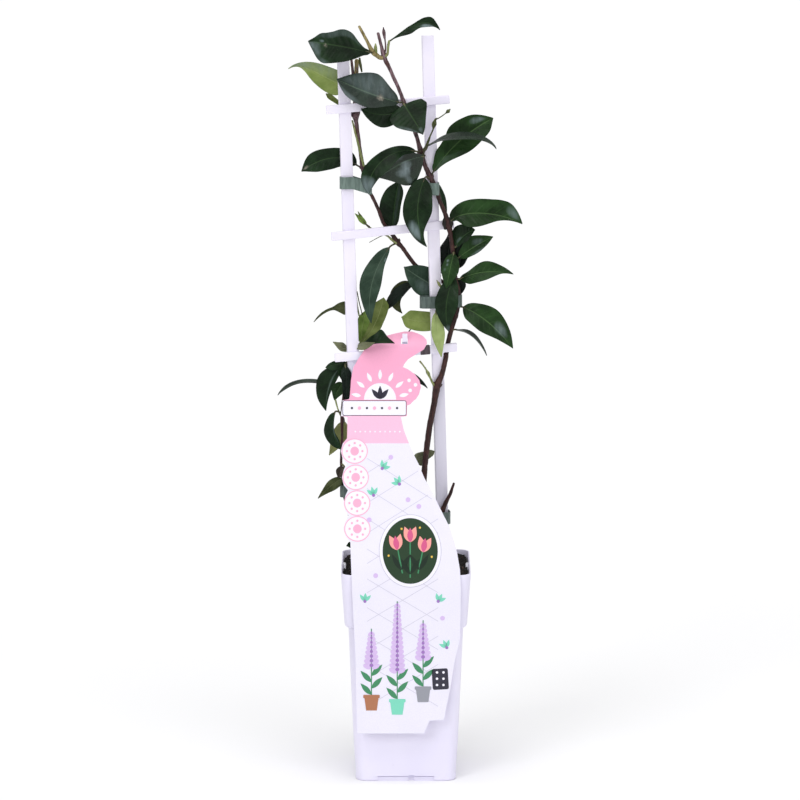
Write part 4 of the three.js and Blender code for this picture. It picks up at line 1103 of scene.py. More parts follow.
# Points along the middle of each stem, each x, y, z and radius, from the root end up.
STEMS = {
    "right": [
        (5, 2, 150, 3.2), (9, 2.5, 172, 3), (12, 3, 193, 3), (15.5, 6, 240, 2.9),
        (17.4, 8, 284, 2.8), (19.4, 9, 305, 2.8), (22.6, 10, 329, 2.8), (26.3, 11, 348, 2.8),
        (29.4, 10.8, 366.6, 3.6), (33, 11.2, 375, 2.6), (34.9, 12, 381, 2.4), (36.9, 14.6, 389.4, 2.3),
        (38.2, 19.2, 397, 2.3), (39.4, 20.6, 405, 2.3), (43.9, 19, 423, 2.4), (47, 18, 433, 2.4),
        (48.7, 18, 444, 2.4), (48.6, 17, 455, 2.6), (46.2, 15, 466, 2.3), (44.3, 13, 489, 2.1),
        (42.4, 10.6, 504, 2), (41, 9.8, 511.6, 2.2), (39.8, 9.6, 518, 3.2), (37.4, 9.6, 526, 2.2),
        (35.6, 9.6, 531, 2), (31.4, 9.8, 541, 2),
        (28.2, 9.6, 551, 2.1), (23.2, 9, 562, 2.6), (17.7, 8.5, 574, 2.1), (14, 8, 586, 2.7),
        (11.2, 7, 597, 1.9), (8.4, 5, 606, 1.9), (-1.8, 3, 633, 2.1), (-5.4, 2.5, 643, 1.7),
        (-13.8, 1.5, 662, 1.7), (-20.2, 1, 676, 2.2), (-23, 0.5, 687, 1.5), (-25.7, 0, 697.5, 1.4),
    ],
    "left": [
        (46, 19.4, 457, 1.9), (38, 27, 460.4, 1.9), (27, 29, 466, 1.9), (18, 25, 472, 1.9),
        (8.5, 17, 480, 1.9), (-3.6, 13, 497, 1.9), (-7.6, 12.4, 501.5, 2.6), (-12.6, 12, 509, 1.9),
        (-20.4, 11, 519, 1.7), (-25.8, 10, 533, 1.6), (-30.3, 9, 543, 1.6), (-35, 7.8, 552, 1.6),
        (-37.6, 7, 562, 1.7), (-39.9, 6.6, 572, 2.3), (-42.5, 6.4, 589, 1.7), (-44.3, 6.2, 603, 1.7),
        (-46.1, 6.2, 615.6, 2), (-46.8, 6.2, 622, 4.2), (-46.8, 6, 632, 2.2), (-46, 6, 650, 1.9),
        (-45.4, 6, 671.6, 1.9),
    ],
    "low": [
        (-46.6, -3.4, 150, 1.9), (-47, -3.4, 180, 1.9), (-47.8, -3.2, 200, 1.8), (-49.6, -2.6, 222, 1.6),
        (-51.8, -2, 240, 1.5), (-55.4, -1, 255, 1.4), (-59, -0.4, 268, 1.3), (-60, 0, 281, 1.3),
        (-60.6, 1, 298, 1.2), (-59.7, 3, 317, 1.2), (-59.7, 4.4, 340, 1.6), (-57.8, 6.5, 360, 1.4),
        (-55, 10, 380, 1.4), (-53.5, 12, 400, 1.4),
        (-53, 12.6, 425, 1.4), (-53, 12.6, 446, 1.2),
    ],
    "cut": [
        (25, 8, 160, 2.5), (28, 9, 193, 2.5), (31, 11, 222, 2.6), (34, 12.4, 245, 2.6),
        (37, 12.4, 253, 2.1), (41.8, 12, 263, 1.6), (45.2, 11, 273.2, 1.1),
    ],
    "topTwig": [
        (-20.4, 1, 676, 1.7), (-23, 0, 674.8, 2), (-27.5, -1, 677.6, 2.1), (-30.6, -2, 680.4, 2.2),
        (-36.6, -2.4, 692, 1.4), (-43, -2.6, 704, 1.3),
    ],
    "budStalk": [
        (-20, 1.6, 676.6, 0.9), (-18.8, 3.4, 683, 0.8), (-19.2, 3.6, 691, 0.7), (-19.8, 3.6, 694, 1.2),
        (-20.4, 3.6, 698, 1.7), (-20.8, 3.6, 702.6, 0.5),
    ],
    "twigBud": [(-27.4, -1, 677.6, 1.2), (-28, -1.6, 684, 1.6), (-28, -1.6, 688, 0.6)],
    "sideShoot": [
        (14, 7.6, 587, 1.4), (17.7, 7.2, 589.4, 1.7), (20.4, 5.8, 596, 1.2), (23, 5.2, 603, 0.7),
        (25.2, 4.8, 608, 0.7), (26.2, 4.6, 613, 2.3), (27.6, 4.5, 617.4, 1), (30.4, 4.3, 618.6, 0.5),
        (36.4, 3.9, 622.8, 0.5), (39, 3.8, 625, 1.8), (41, 3.6, 627, 0.5),
    ],
    "nodeShoot": [
        (28, 10.6, 365, 1.3), (25, 8.4, 369.4, 1.1), (23, 7.4, 374, 1), (20.7, 6.6, 379, 1.6),
        (18.8, 6.4, 382.6, 0.8), (15.8, 5.8, 387, 0.7), (13.2, 5.2, 390.4, 0.9),
    ],
    "paleShoot": [
        (-39.4, 5.6, 574, 1.4), (-42.9, 5, 589, 1.1), (-46.6, 5, 604, 1), (-49.6, 6.4, 616, 0.8),
    ],
    "leafShoot": [
        (-8.6, 11, 501, 1.4), (-13, 11.6, 504, 1.2), (-17, 12.6, 507.4, 0.9), (-26, 13, 510.6, 0.8),
        (-35.6, 12, 517, 0.8),
    ],
    "thinStalk": [(-20.6, 12.4, 508.4, 0.4), (-26, 12, 506, 0.35), (-34, 11, 501.6, 0.3)],
    "leftTop": [(-46.1, 6, 652, 1.7), (-45.8, 6, 660, 1.98), (-45.4, 6, 672, 1.98)],
    "twinStem": [(-48, 7.4, 650, 1.4), (-49.4, 7.6, 664, 1.3), (-50.6, 7.6, 675, 1.1)],
    "hangingTwig": [(-42.8, 6, 674, 0.9), (-42, 5.6, 668, 1.4), (-40.8, 5.2, 661.6, 0.8)],
    "tipStalk": [
        (-20, 0.6, 675.6, 1.3), (-17.2, -0.4, 678, 1.2), (-16.4, -1, 685, 1.1),
        (-15.4, -1.4, 690.6, 1.1),
    ],
    "leftLump": [(36.8, 9, 514.6, 1.3), (35.7, 8.6, 520.4, 2.2), (36.4, 9, 525.4, 1.2)],
    "rightLump": [(41.2, 9, 514, 1.2), (41.9, 8.6, 520, 2.2), (40.6, 9, 525, 1.1)],
    "paleStalk": [(-43.6, 13.4, 432, 0.7), (-46, 13.6, 446, 0.8), (-46.8, 13.6, 464, 0.6)],
    "innerStalk": [(-40.6, 13, 433, 0.5), (-43.6, 13.4, 445, 0.5), (-45.6, 13.4, 455, 0.5)],
    "lowerStalk": [(-66, 7.4, 353.6, 0.8), (-63.6, 6, 345, 0.7), (-61, 4.6, 339, 0.8)],
    "hiddenStalk": [(-2, 12, 410, 0.6), (2.1, 12, 416.2, 0.6), (6.4, 13, 422.4, 0.5)],
    "leafBud": [(33, 9, 459.4, 0.8), (31, 8.4, 462.8, 1.4), (28.8, 8, 466.4, 0.4)],
    "lowerBud": [(33.6, 9, 456, 0.5), (32.6, 8.6, 458.4, 0.9), (32.6, 8.4, 461, 0.3)],
}
STEM_SIDES = 18
STEM_ROUGHNESS = 0.16
CAP_RINGS = ((0.8, 0.35), (0.45, 0.6))  # share of the end ring, and how far out in radii
SCAR_RADII = (1.15, 1.2, 0.85, 0.35)
STEPS_PER_SPAN = 7


def stem_point(points, t):
    """A point on the centripetal Catmull-Rom curve through the stem's points."""
    at = t * (len(points) - 1)
    i = min(int(at), len(points) - 2)
    w = at - i
    b, c = Vector(points[i][:3]), Vector(points[i + 1][:3])
    a = Vector(points[i - 1][:3]) if i > 0 else b * 2 - c
    d = Vector(points[i + 2][:3]) if i + 2 < len(points) else c * 2 - b
    before, span, after = ((q - p).length ** 0.5 for p, q in ((a, b), (b, c), (c, d)))
    start = ((b - a) / before - (c - a) / (before + span) + (c - b) / span) * span
    end = ((c - b) / span - (d - b) / (span + after) + (d - c) / after) * span
    return (b + start * w + (c * 3 - b * 3 - start * 2 - end) * w ** 2
            + (b * 2 - c * 2 + start + end) * w ** 3)


def stem_along(points, t):
    step = 0.0005
    return (stem_point(points, min(1, t + step)) - stem_point(points, max(0, t - step))).normalized()


def stem_radius(points, t):
    at = t * (len(points) - 1)
    i = min(int(at), len(points) - 2)
    share = at - i
    share = share * share * (3 - 2 * share)
    return points[i][3] + (points[i + 1][3] - points[i][3]) * share


def tube(shape, centres, radii, slot=0, sides=STEM_SIDES, roughness=0.0, seed=0.0):
    """A round tube along a row of centres, with rounded ends."""
    count = len(centres)
    rings = []
    across = Vector((0, 1, 0))
    for i, centre in enumerate(centres):
        before, after = centres[max(0, i - 1)], centres[min(count - 1, i + 1)]
        along = (after - before).normalized()
        side = along.cross(across).normalized()
        across = side.cross(along).normalized()
        ring = []
        for s in range(sides):
            a = 2 * math.pi * s / sides
            way = side * math.cos(a) + across * math.sin(a)
            lump = 1
            if roughness:
                lump += roughness * noise.noise(centre * 0.35 + way * 1.3 + Vector((seed, 0, 0)))
            ring.append(centre + way * radii[i] * lump)
        rings.append(ring)
    ends = []
    for index, sign in ((0, -1), (count - 1, 1)):
        other = 1 if index == 0 else count - 2
        outward = (centres[index] - centres[other]).normalized()
        cap = []
        for share, out in CAP_RINGS:
            cap.append([centres[index] + (p - centres[index]) * share + outward * radii[index] * out
                        for p in rings[index]])
        ends.append(cap)
    rings = [ends[0][1], ends[0][0]] + rings + ends[1]
    shape.loft(rings, slot)


def stem_tube(shape, name, slot):
    points = STEMS[name]
    steps = (len(points) - 1) * STEPS_PER_SPAN
    places = [i / steps for i in range(steps + 1)]
    centres = [stem_point(points, t) for t in places]
    radii = [stem_radius(points, t) for t in places]
    tube(shape, centres, radii, slot, roughness=STEM_ROUGHNESS, seed=len(name) * 3.1)


def node_scars(shape, name, slot):
    """Small bud scales and leaf scars at the swollen nodes of a woody stem."""
    points = STEMS[name]
    rng = random.Random(len(points))
    for i in range(1, len(points) - 1):
        here = points[i]
        if here[3] < max(points[i - 1][3], points[i + 1][3]) + 0.35:
            continue
        along = stem_along(points, i / (len(points) - 1))
        side = along.cross(Vector((0, 1, 0))).normalized()
        front = side.cross(along)
        for k in range(2):
            turn = rng.uniform(-0.6, 0.6) + math.pi * k
            way = (side * math.cos(turn) + front * math.sin(turn)).normalized()
            start = Vector(here[:3]) + way * here[3] * 0.75
            centres = [start + way * step * 0.5 + along * step * 0.75 for step in range(len(SCAR_RADII))]
            tube(shape, centres, SCAR_RADII, slot, 10)


# ---------- leaves ----------

# For each leaf: its joint, as a height on the stem or as a point; the midrib's Bezier points; the
# width, or the half widths on the right and on the left, at a fifth, a half and four fifths of the
# blade or at even steps where there are more; the way that the upper face looks; the fold in
# degrees; and the leaf's tint.
LEAVES = {
    "right": [
        (268, [(6.5, 13, 296), (15, 16.5, 297), (27, 13.5, 303.5)],
         ((3, 6, 8, 8, 7, 5.6, 4.4, 3.8, 3), (3, 4.2, 4.6, 4.6, 4.4, 4, 3.6, 3.3, 2.8)),
         (0, -1, 0.1), 4, "moss"),
        (417, [(47, 17, 418.6), (64, 12, 419), (76, 8, 395.4)], 18, (0.42, -0.04, 0.91), 8, "grey"),
        (432, [(37.7, 24, 428.7), (17, 28, 420.6), (-3.8, 4, 432.4)],
         ((4, 6.8, 8.4, 9.2, 9.6, 9.7, 9.6, 9.2, 7.6), (5, 7.4, 8.6, 9.2, 9.4, 9.4, 9.2, 8.6, 7)),
         (0, -0.95, 0.2), 8, "yellow"),
        (440, [(28.2, 6.4, 436.3), (29.5, 3.6, 417.4), (33.2, 6.5, 394)], 13,
         (0.1, -0.97, 0.1), 14, "pale"),
        (440, [(53.5, 14, 440.2), (76, 4, 433.3), (100.2, 8, 402.2)],
         ((10.7, 12.5, 5.6), (9.4, 14.2, 8.9)), (0.05, -0.9, 0.42), 10, "mid"),
        (467, [(50.5, 14, 467), (73.4, 8, 478.5), (100.4, 12, 471.7)],
         ((9.3, 8.4, 1.6), (4.2, 10.2, 5.6)), (0, -0.9, 0.42), 10, "mid"),
        (470, [(45, 9, 469.5), (33, -1, 444), (40, 3, 419)], 22, (0, -0.98, 0.1), 12, "dark"),
        (491, [(44.4, 7.6, 491.6), (41, 4.4, 477), (37.5, 4, 459)], 17, (0, -0.97, 0.15), 14, "mid"),
        (487, [(49.4, 11, 487.6), (63.4, 7, 498.9), (81.2, 8, 507.5)],
         ((6, 7.4, 4.6), (6.5, 10.5, 5.5)), (-0.1, -0.9, 0.4), 12, "mid"),
        (478, [(49.4, 16, 477), (54, 17.5, 494), (58, 17.5, 512)], 13, (-0.1, -0.95, 0.2), 6, "black"),
        (497, [(46.8, 12.4, 497.6), (52, 12.4, 509), (64.5, 12, 513.5)],
         ((4, 6, 4), (9, 12, 8)), (-0.3, -0.9, 0.3), 8, "dark"),
        (512, [(42.6, 18.6, 512), (39.4, 24, 491), (37.6, 24, 466)],
         ((4, 10, 9), (4, 10, 9)), (0, -1, 0.1), -5, "black"),
        (519, [(42.4, 7.6, 522.6), (52, 3, 534), (86, 1.5, 532), (108.4, 6, 519.6)],
         ((3.6, 9.6, 12.8, 13.6, 12.6, 9.6, 5.6, 2.8, 1.2),
          (7.6, 10.4, 12.3, 13.2, 13.6, 13.9, 14.6, 13.6, 8)),
         (0, -0.95, 0.3), 8, "mid"),
        (524, [(36.6, 17.5, 524), (34.8, 22, 542), (29.4, 22, 557)], 11.5, (0.85, -0.53, 0), 6, "dark"),
        (560, [(17.6, 3.6, 563), (8.4, -8, 543.8), (8.5, -10, 519.8), (19.5, -4, 499.5)],
         ((10.8, 14, 8), (11.6, 13.2, 2.7)), (0, -0.96, 0.2), 8, "dark"),
        (562, [(25.6, 10, 568), (47, 12, 600.3), (81, 14, 617.7)],
         ((3, 5.6, 8.8, 11.8, 13.9, 14.4, 13.6, 12, 8.8), (5.5, 9.3, 10.2, 12.2, 16, 16.4, 15, 12.6, 7.4)),
         (-0.15, -0.95, 0.2), 8, "mid"),
        (585, [(16.4, -0.6, 583.6), (-4, -7, 582), (-24.4, -8, 564.4)],
         ((3, 5.5, 8.4, 9.6, 9.8, 9, 8, 6.5, 4), (15, 20.5, 23.4, 24.4, 24, 22.8, 20.4, 15, 8)),
         (0.1, -0.97, -0.2), -4, "wet"),
        (588, [(9, -3, 588.6), (-12.8, -20, 595.3), (-36.7, -27, 577.5), (-34.2, -21, 550.5)],
         ((5.2, 7.5, 9), (4.6, 11.5, 7)), (-0.2, -0.93, 0.3), 10, "dark"),
        (579, [(20.7, -0.5, 593.8), (36, -8, 605), (73, -14, 607.6), (83.7, -14, 592)],
         26, (0, -0.16, 1), 6, "grey"),
        (632, [(-1.6, -3.4, 632), (6.5, -16, 620.8), (15.7, -24, 606.5)],
         ((15, 18.4, 19.4, 19.2, 17.8, 15, 11.5, 7.5, 3.5), (16, 17.6, 18.4, 17, 14.6, 12, 9.4, 7, 4.2)),
         (0.1, -0.97, 0.12), 6, "dark"),
        (634, [(-6.4, -2.4, 634), (-30, -13, 640), (-63.7, -11, 656.3)],
         ((11.1, 19.4, 12.5), (6.5, 13.5, 11)), (-0.05, -0.95, 0.3), 8, "gloss"),
        (625, [(-3, -0.4, 627), (-22, -7.4, 618), (-41.4, -6.4, 628.4)], 24, (0, -0.99, 0.12), 6, "dark"),
        ((-16.2, -1, 687), [(-15.2, -1.4, 690.4), (-1.8, -3, 699.8), (16.6, -6, 717.5), (31.4, -6, 701)],
         ((1, 2.6, 4.8, 6, 5.2, 4.4, 4.4, 3.5, 1.4), (0.5, 0.6, 0.8, 1.2, 1.6, 3, 4.9, 5.8, 2.8)),
         (-0.1, -0.95, 0.2), 8, "dark"),
    ],
    "topTwig": [
        (680, [(-32.8, -5, 680.2), (-65, -13, 688.6), (-90, -13, 691.4)],
         ((3.4, 8, 13.6, 15.8, 15, 12, 10, 8.6, 4), (4.8, 9.3, 12.8, 15.3, 17.2, 18.7, 19.5, 16.3, 8.6)),
         (0, -0.95, 0.3), 10, "dark"),
    ],
    "left": [
        (477, [(6, 19, 461), (-7.4, 19, 454.4), (-18.6, 18, 436.5)],
         ((5, 6.4, 5), (3, 4.4, 3.4)), (0, -1, 0), 6, "black"),
        (501, [(-15.4, 8, 497.3), (-39.4, -4, 466), (-32.2, -2, 427.4)],
         ((8.4, 11.5, 5.6), (5.1, 8.9, 4.9)), (-0.1, -0.97, 0.1), 10, "sage"),
        (505, [(-12.6, 17.6, 513.4), (-11, 21, 536), (-6.4, 18, 558.5)],
         ((5.5, 5.8, 6), (12, 14.2, 10)), (0, -1, 0), 8, "dark"),
        (572, [(-46, 9.8, 574.5), (-67.7, 15, 589.6), (-97, 11, 568.2)],
         ((8.8, 9.4, 9.5), (6.5, 10.6, 8.8)), (0, -0.97, 0.2), 8, "dark"),
        (650, [(-51, 9.8, 648), (-75, 15, 649), (-90.5, 16, 673), (-109, 14, 663.3)],
         ((11, 9, 3.7), (12.5, 9.3, 1)), (0, -0.97, 0.2), 8, "yellow"),
        (459, [(33, 24.8, 455.6), (14.6, 26.4, 464), (-1.6, 4, 479.5)],
         ((10, 13, 8.4), (13, 14, 7.6)), (0.15, -0.98, 0.05), 6, "sage"),
        (476, [(4, 25, 462), (-14, 28, 452), (-3.4, 20, 433.4)],
         ((6, 8, 6), (4, 4, 1.4)), (0, -1, 0.1), 6, "drab"),
    ],
    "low": [
        (339, [(-58, 8, 333), (-61, 11, 318), (-72, 9, 300.4)], 15, (0, -0.95, 0.2), 8, "khaki"),
        (341, [(-66.4, 2, 342.5), (-72, -3, 325), (-60.8, -5, 308.6)],
         ((6, 9, 6), (1, 1.2, 3)), (0, -0.95, 0.3), 10, "dark"),
        (376, [(-58.8, 9, 369), (-64.5, 8.2, 364), (-66.8, 7, 353)], 12.5, (0.1, -0.9, 0.4), 10, "mid"),
        (358, [(-63, 22, 365), (-86, 26, 369), (-106, 24, 372.6), (-120.6, 21, 355.6)],
         ((5, 5.6, 5), (5, 5.6, 5)), (0, -0.16, 0.98), 4, "grey"),
        (386, [(-55.6, 12, 388.2), (-74.5, 14, 376), (-75, 14, 341.8)],
         ((5, 12.6, 9.6), (4.2, 4.8, 2)), (-0.2, -0.93, 0.25), 10, "dark"),
        (404, [(-45.4, 8.8, 404.4), (-34, -20, 414), (-10.4, -9, 409.8)],
         ((0.8, 1.2, 1.6, 1.4, 1, 0.7), (1.2, 2.4, 5.6, 8.4, 12, 5.4)), (0, -0.9, 0.4), 6, "dark"),
        (404, [(-42.4, 14.4, 407), (-41, 16, 420.5), (-37.4, 15, 437)],
         ((4.5, 6.2, 5), (4.5, 6, 5)), (-0.1, -0.99, 0.1), 6, "light"),
        (408, [(-44.6, 11, 404.6), (-27, 9, 419), (-20.6, 9, 450)],
         ((3.4, 5, 6.4, 7, 7.2, 7, 7, 7, 6.4), (1.6, 2.6, 3.6, 4.6, 5.6, 6.6, 7.6, 8.2, 7.6)),
         (0.25, -0.95, -0.2), 6, "olive"),
        (424, [(-50.5, 15.5, 437.5), (-72, 14, 445), (-86, 9, 426.8)],
         ((6.4, 4.6, 1.7, 1.3, 1.2, 0.9), (6.4, 4.6, 1.9, 1.4, 1.2, 0.9)), (0, -0.95, 0.3), 6, "drab"),
    ],
}
# Leaflets and leaf tips, which are part of their stems.
SMALL_LEAVES = {
    "right": [
        (466, [(48, 16.5, 467), (52, 17.4, 460), (51.6, 18, 452)], 11, (0, -0.95, 0.2), 6, "black"),
    ],
    "left": [
        (625, [(-60, 10, 630.5), (-66, 12, 634), (-74.2, 12, 640.6)],
         ((2, 2.4, 2.6), (2, 2.4, 2.6)), (0, -0.9, 0.4), 14, "olive"),
    ],
    "leafShoot": [
        (516, [(-37, 11, 518.6), (-41, 10, 523), (-47.2, 9, 529)], 5.4, (-0.3, -0.9, 0.3), 14, "light"),
        (516, [(-39, 10.6, 521), (-42, 9.6, 526), (-44.6, 9, 531)], 3, (-0.3, -0.9, 0.3), 14, "olive"),
    ],
    "low": [
        (281, [(-60, -2.6, 280), (-68, -4, 277.5), (-82.4, -6, 262)],
         ((4, 5, 2.4), (6.4, 6.6, 3)), (0, -0.8, 0.6), 12, "drab"),
        (376, [(-56.6, -0.6, 387), (-55, -2.4, 372), (-56, -2, 352)],
         ((3.5, 5, 5.2, 5, 4.6, 4.2, 3.8, 3.4, 2.6), (3.5, 5, 5.2, 5, 4.6, 4.2, 3.8, 3.4, 2.6)),
         (0.3, -0.95, 0), 12, "black"),
        (384, [(-55.6, 6, 388), (-59, 5, 380.6), (-59.4, 5, 372.4)], 12, (0, -0.95, 0.2), 8, "dark"),
        (380, [(-22, 14, 372), (8, 20, 378.6), (20.4, 17, 362.8)], ((3, 5, 2), (3, 5, 2)),
         (0, -0.9, 0.4), 8, "black"),
        (216, [(-50.2, -4, 217), (-52.6, -6, 217.4), (-55.6, -8, 217.2)], 6.4, (0, -0.9, 0.4), 8, "dark"),
        (294, [(-58, -2, 291), (-62.6, -3.4, 288), (-62.8, -3.6, 280.6)], 8.5,
         (0, -0.95, 0.2), 10, "brown"),
        (403, [(-54, 11.4, 400.5), (-60, 9, 402.5), (-68, 7, 408.6)], 9, (0, -0.8, 0.6), 8, "moss"),
        (390, [(-55.6, 9, 387.8), (-65, 8, 388.6), (-75.2, 7, 384)],
         ((2.4, 3.4, 2.4), (4, 5.4, 4.4)), (0, -0.95, 0.3), 8, "dark"),
        (400, [(-47, 6, 403.6), (-38, -12, 407), (-29, -13, 411)], 7.5, (0, -0.95, 0.3), 8, "moss"),
    ],
}
# Patches painted on the blades' upper faces. Shine is pale like mirrored sky and gloom is dark like
# shade: both are painted light, placed for the front view, and not true gloss. A scar is a
# mark on the leaf. For each: its kind, its middle across the blade (-1 to 1, the right above 0) and
# along it (0 to 1), its reach across and along, and its strength.
PATCHES = {
    "top_twig_01": [("shine", -0.45, 0.88, 0.6, 0.16, 0.4), ("shine", -0.95, 0.68, 0.25, 0.14, 0.3),
                    ("gloom", -0.3, 0.35, 1.0, 0.45, 0.5), ("shine", 0.2, 0.76, 0.14, 0.05, 0.6),
                    ("scar", -0.08, 0.69, 0.12, 0.03, 0.9), ("shine", 0.8, 0.5, 0.4, 0.45, 0.2)],
    "right_vine_05": [("shine", -0.25, 0.72, 0.5, 0.14, 0.45), ("gloom", 0.4, 0.25, 0.9, 0.3, 0.3)],
    "right_vine_06": [("gloom", -0.2, 0.1, 1.0, 0.16, 0.5)],
    "right_vine_07": [("shine", 0.0, 0.97, 1.2, 0.1, 0.4), ("gloom", 0.2, 0.4, 1.2, 0.5, 0.2)],
    "right_vine_08": [("shine", 0.55, 0.24, 0.2, 0.05, 0.6), ("shine", 0.45, 0.36, 0.14, 0.05, 0.5),
                      ("shine", 0.6, 0.5, 0.16, 0.06, 0.35), ("gloom", -0.5, 0.5, 0.6, 0.6, 0.3)],
    "right_vine_09": [("shine", -0.3, 0.62, 0.4, 0.16, 0.28), ("shine", 0.9, 0.5, 0.3, 0.25, 0.3)],
    "right_vine_11": [("shine", -0.1, 0.3, 0.16, 0.2, 0.4), ("gloom", -0.5, 0.6, 0.6, 0.4, 0.4)],
    "right_vine_13": [("shine", -0.5, 0.86, 0.5, 0.1, 0.35), ("gloom", -0.6, 0.06, 1.2, 0.2, 0.6),
                      ("gloom", 0.5, 0.5, 1.0, 0.6, 0.3)],
    "right_vine_15": [("shine", 0.5, 0.74, 0.5, 0.15, 0.95), ("gloom", -0.3, 0.3, 1.0, 0.3, 0.3)],
    "right_vine_16": [("shine", -0.5, 0.8, 0.34, 0.12, 0.75), ("shine", 0.3, 0.25, 0.8, 0.3, 0.08),
                      ("gloom", -0.3, 0.55, 1.0, 0.35, 0.55)],
    "right_vine_17": [("shine", -0.15, 0.4, 0.25, 0.16, 0.7), ("shine", -0.4, 0.54, 0.25, 0.2, 0.7),
                      ("shine", -0.75, 0.5, 0.2, 0.1, 0.5), ("shine", 0.6, 0.5, 0.3, 0.3, 0.2),
                      ("gloom", 0.3, 0.2, 1.2, 0.25, 0.4)],
    "right_vine_18": [("shine", 0.0, 0.9, 1.2, 0.16, 0.7), ("gloom", 0.0, 0.45, 1.2, 0.45, 0.35)],
    "right_vine_19": [("gloom", 0.0, 0.5, 1.4, 0.6, 0.3)],
    "right_vine_20": [("shine", 0.85, 0.7, 0.3, 0.3, 0.3), ("shine", -0.1, 0.88, 0.4, 0.12, 0.3),
                      ("gloom", -0.1, 0.4, 1.2, 0.45, 0.35)],
    "right_vine_21": [("shine", 0.5, 0.5, 0.7, 0.5, 0.33), ("gloom", -0.6, 0.35, 0.6, 0.45, 0.25),
                      ("scar", -0.1, 0.33, 0.26, 0.06, 1.3), ("shine", -0.85, 0.78, 0.3, 0.25, 0.35)],
    "right_vine_22": [("gloom", 0.0, 0.5, 1.4, 0.6, 0.5)],
    "right_vine_23": [("shine", 0.7, 0.74, 0.5, 0.16, 0.8)],
    "left_vine_01": [("gloom", 0.0, 0.5, 1.4, 0.8, 0.3)],
    "left_vine_02": [("shine", -0.7, 0.15, 0.2, 0.04, 0.6), ("gloom", 0.0, 0.5, 1.4, 0.6, 0.15)],
    "left_vine_03": [("shine", 0.3, 0.55, 0.3, 0.6, 0.12), ("gloom", -0.5, 0.3, 0.6, 0.5, 0.3)],
    "left_vine_04": [("scar", 0.1, 0.93, 0.35, 0.05, 1.0), ("gloom", 0.0, 0.4, 1.2, 0.4, 0.3)],
    "left_vine_05": [("shine", 0.7, 0.4, 0.8, 0.7, 0.3), ("shine", 0.2, 0.85, 1.0, 0.3, 0.35)],
    "left_vine_06": [("shine", -0.4, 0.35, 0.5, 0.3, 0.25)],
    "low_vine_02": [("shine", -0.4, 0.45, 0.3, 0.4, 0.4)],
    "low_vine_03": [("gloom", 0.0, 0.5, 1.4, 0.8, 0.35)],
    "low_vine_05": [("shine", -0.05, 0.45, 0.18, 0.5, 0.35), ("gloom", 0.6, 0.5, 0.6, 0.6, 0.25)],
    "low_vine_06": [("gloom", 0.0, 0.5, 1.4, 0.6, 0.2)],
}
STEM_LABELS = {"right": "right_vine", "topTwig": "top_twig", "left": "left_vine", "low": "low_vine"}
PLAIN_LEAF = (0.78, 1, 0.5)
PROFILE_PLACES = (0.2, 0.5, 0.8)
PETIOLE_HALF = 0.8
TIP_HALF = 0.3
LEAF_STEPS = 46
LEAF_COLUMNS = 12  # on each side of the midrib
VEIN_PAIRS = 9
VEIN_SLANT = 1.5
# Millimetres: the blade's thickness at its base and how much of it goes by the tip, the rib under
# the midrib and the groove over it, each with its half width, and the petiole's radius.
BLADE = {"thick": 0.62, "thinning": 0.3, "rib": 0.75, "rib_half": 0.7, "groove": 0.28, "groove_half": 0.75}
PETIOLE = {"radius": 1.15, "thinning": 0.3, "steps": 12}
WAVE = 0.035  # shares of the half width
PUFF = 0.022


def bezier(points, t):
    row = [Vector(p) for p in points]
    while len(row) > 1:
        row = [a.lerp(b, t) for a, b in zip(row, row[1:])]
    return row[0]


def bezier_along(points, t):
    steps = [Vector(b) - Vector(a) for a, b in zip(points, points[1:])]
    return bezier(steps, t).normalized()


def spline(points, place):
    """A point on the uniform Catmull-Rom spline through 2-D points, for a place from 0 to 1."""
    at = place * (len(points) - 1)
    i = min(int(at), len(points) - 2)
    w = at - i
    a, b, c, d = (points[max(i - 1, 0)], points[i], points[i + 1], points[min(i + 2, len(points) - 1)])
    result = []
    for p, q, r, s in zip(a, b, c, d):
        start, end = (r - p) / 2, (s - q) / 2
        result.append((2 * q - 2 * r + start + end) * w ** 3 + (3 * r - 3 * q - 2 * start - end) * w ** 2
                      + start * w + q)
    return result


def edge_points(halves):
    """Half widths at the three usual places, or at even steps where there are more of them."""
    count = len(halves)
    places = PROFILE_PLACES if count == 3 else [(i + 1) / (count + 1) for i in range(count)]
    near_base = (places[0] / 3, halves[0] * 0.55 + 0.3)
    return [(0, PETIOLE_HALF), near_base, *zip(places, halves), (1, TIP_HALF)]


def leaf_edges(form):
    if isinstance(form, (int, float)):
        halves = [share * form / 2 for share in PLAIN_LEAF]
        return edge_points(halves), edge_points(halves)
    return edge_points(form[0]), edge_points(form[1])


def blade_surface(u, share, t, half, fold, phase):
    """How high a point of the blade lies over the flat leaf: fold, waves, groove and vein ridges."""
    reach = abs(share)
    lift = half * math.sin(math.radians(fold)) * (0.35 * reach + 0.65 * reach ** 1.7)
    wave = WAVE * half * reach ** 2 * math.sin(u * 11 + phase + (2 if share > 0 else 0))
    puff = PUFF * half * math.sin(math.pi * min(1, reach * 1.1)) * math.cos(
        2 * math.pi * (VEIN_PAIRS * t - VEIN_SLANT * reach))
    groove = -BLADE["groove"] * math.exp(-(reach * half / BLADE["groove_half"]) ** 2) * min(1, t * 8)
    return lift + wave + puff + groove


def patch_marks(patches, share, t):
    """How much painted sky reflection a point of a blade has, or painted shade below 0, and how scarred it
    is.
    """
    shine, scar = 0.0, 0.0
    for kind, across, along, wide, long, amount in patches:
        near = amount * max(0.0, 1 - ((share - across) / wide) ** 2 - ((t - along) / long) ** 2)
        if kind == "scar":
            scar = max(scar, near)
        else:
            shine += near if kind == "shine" else -near
    return shine, scar


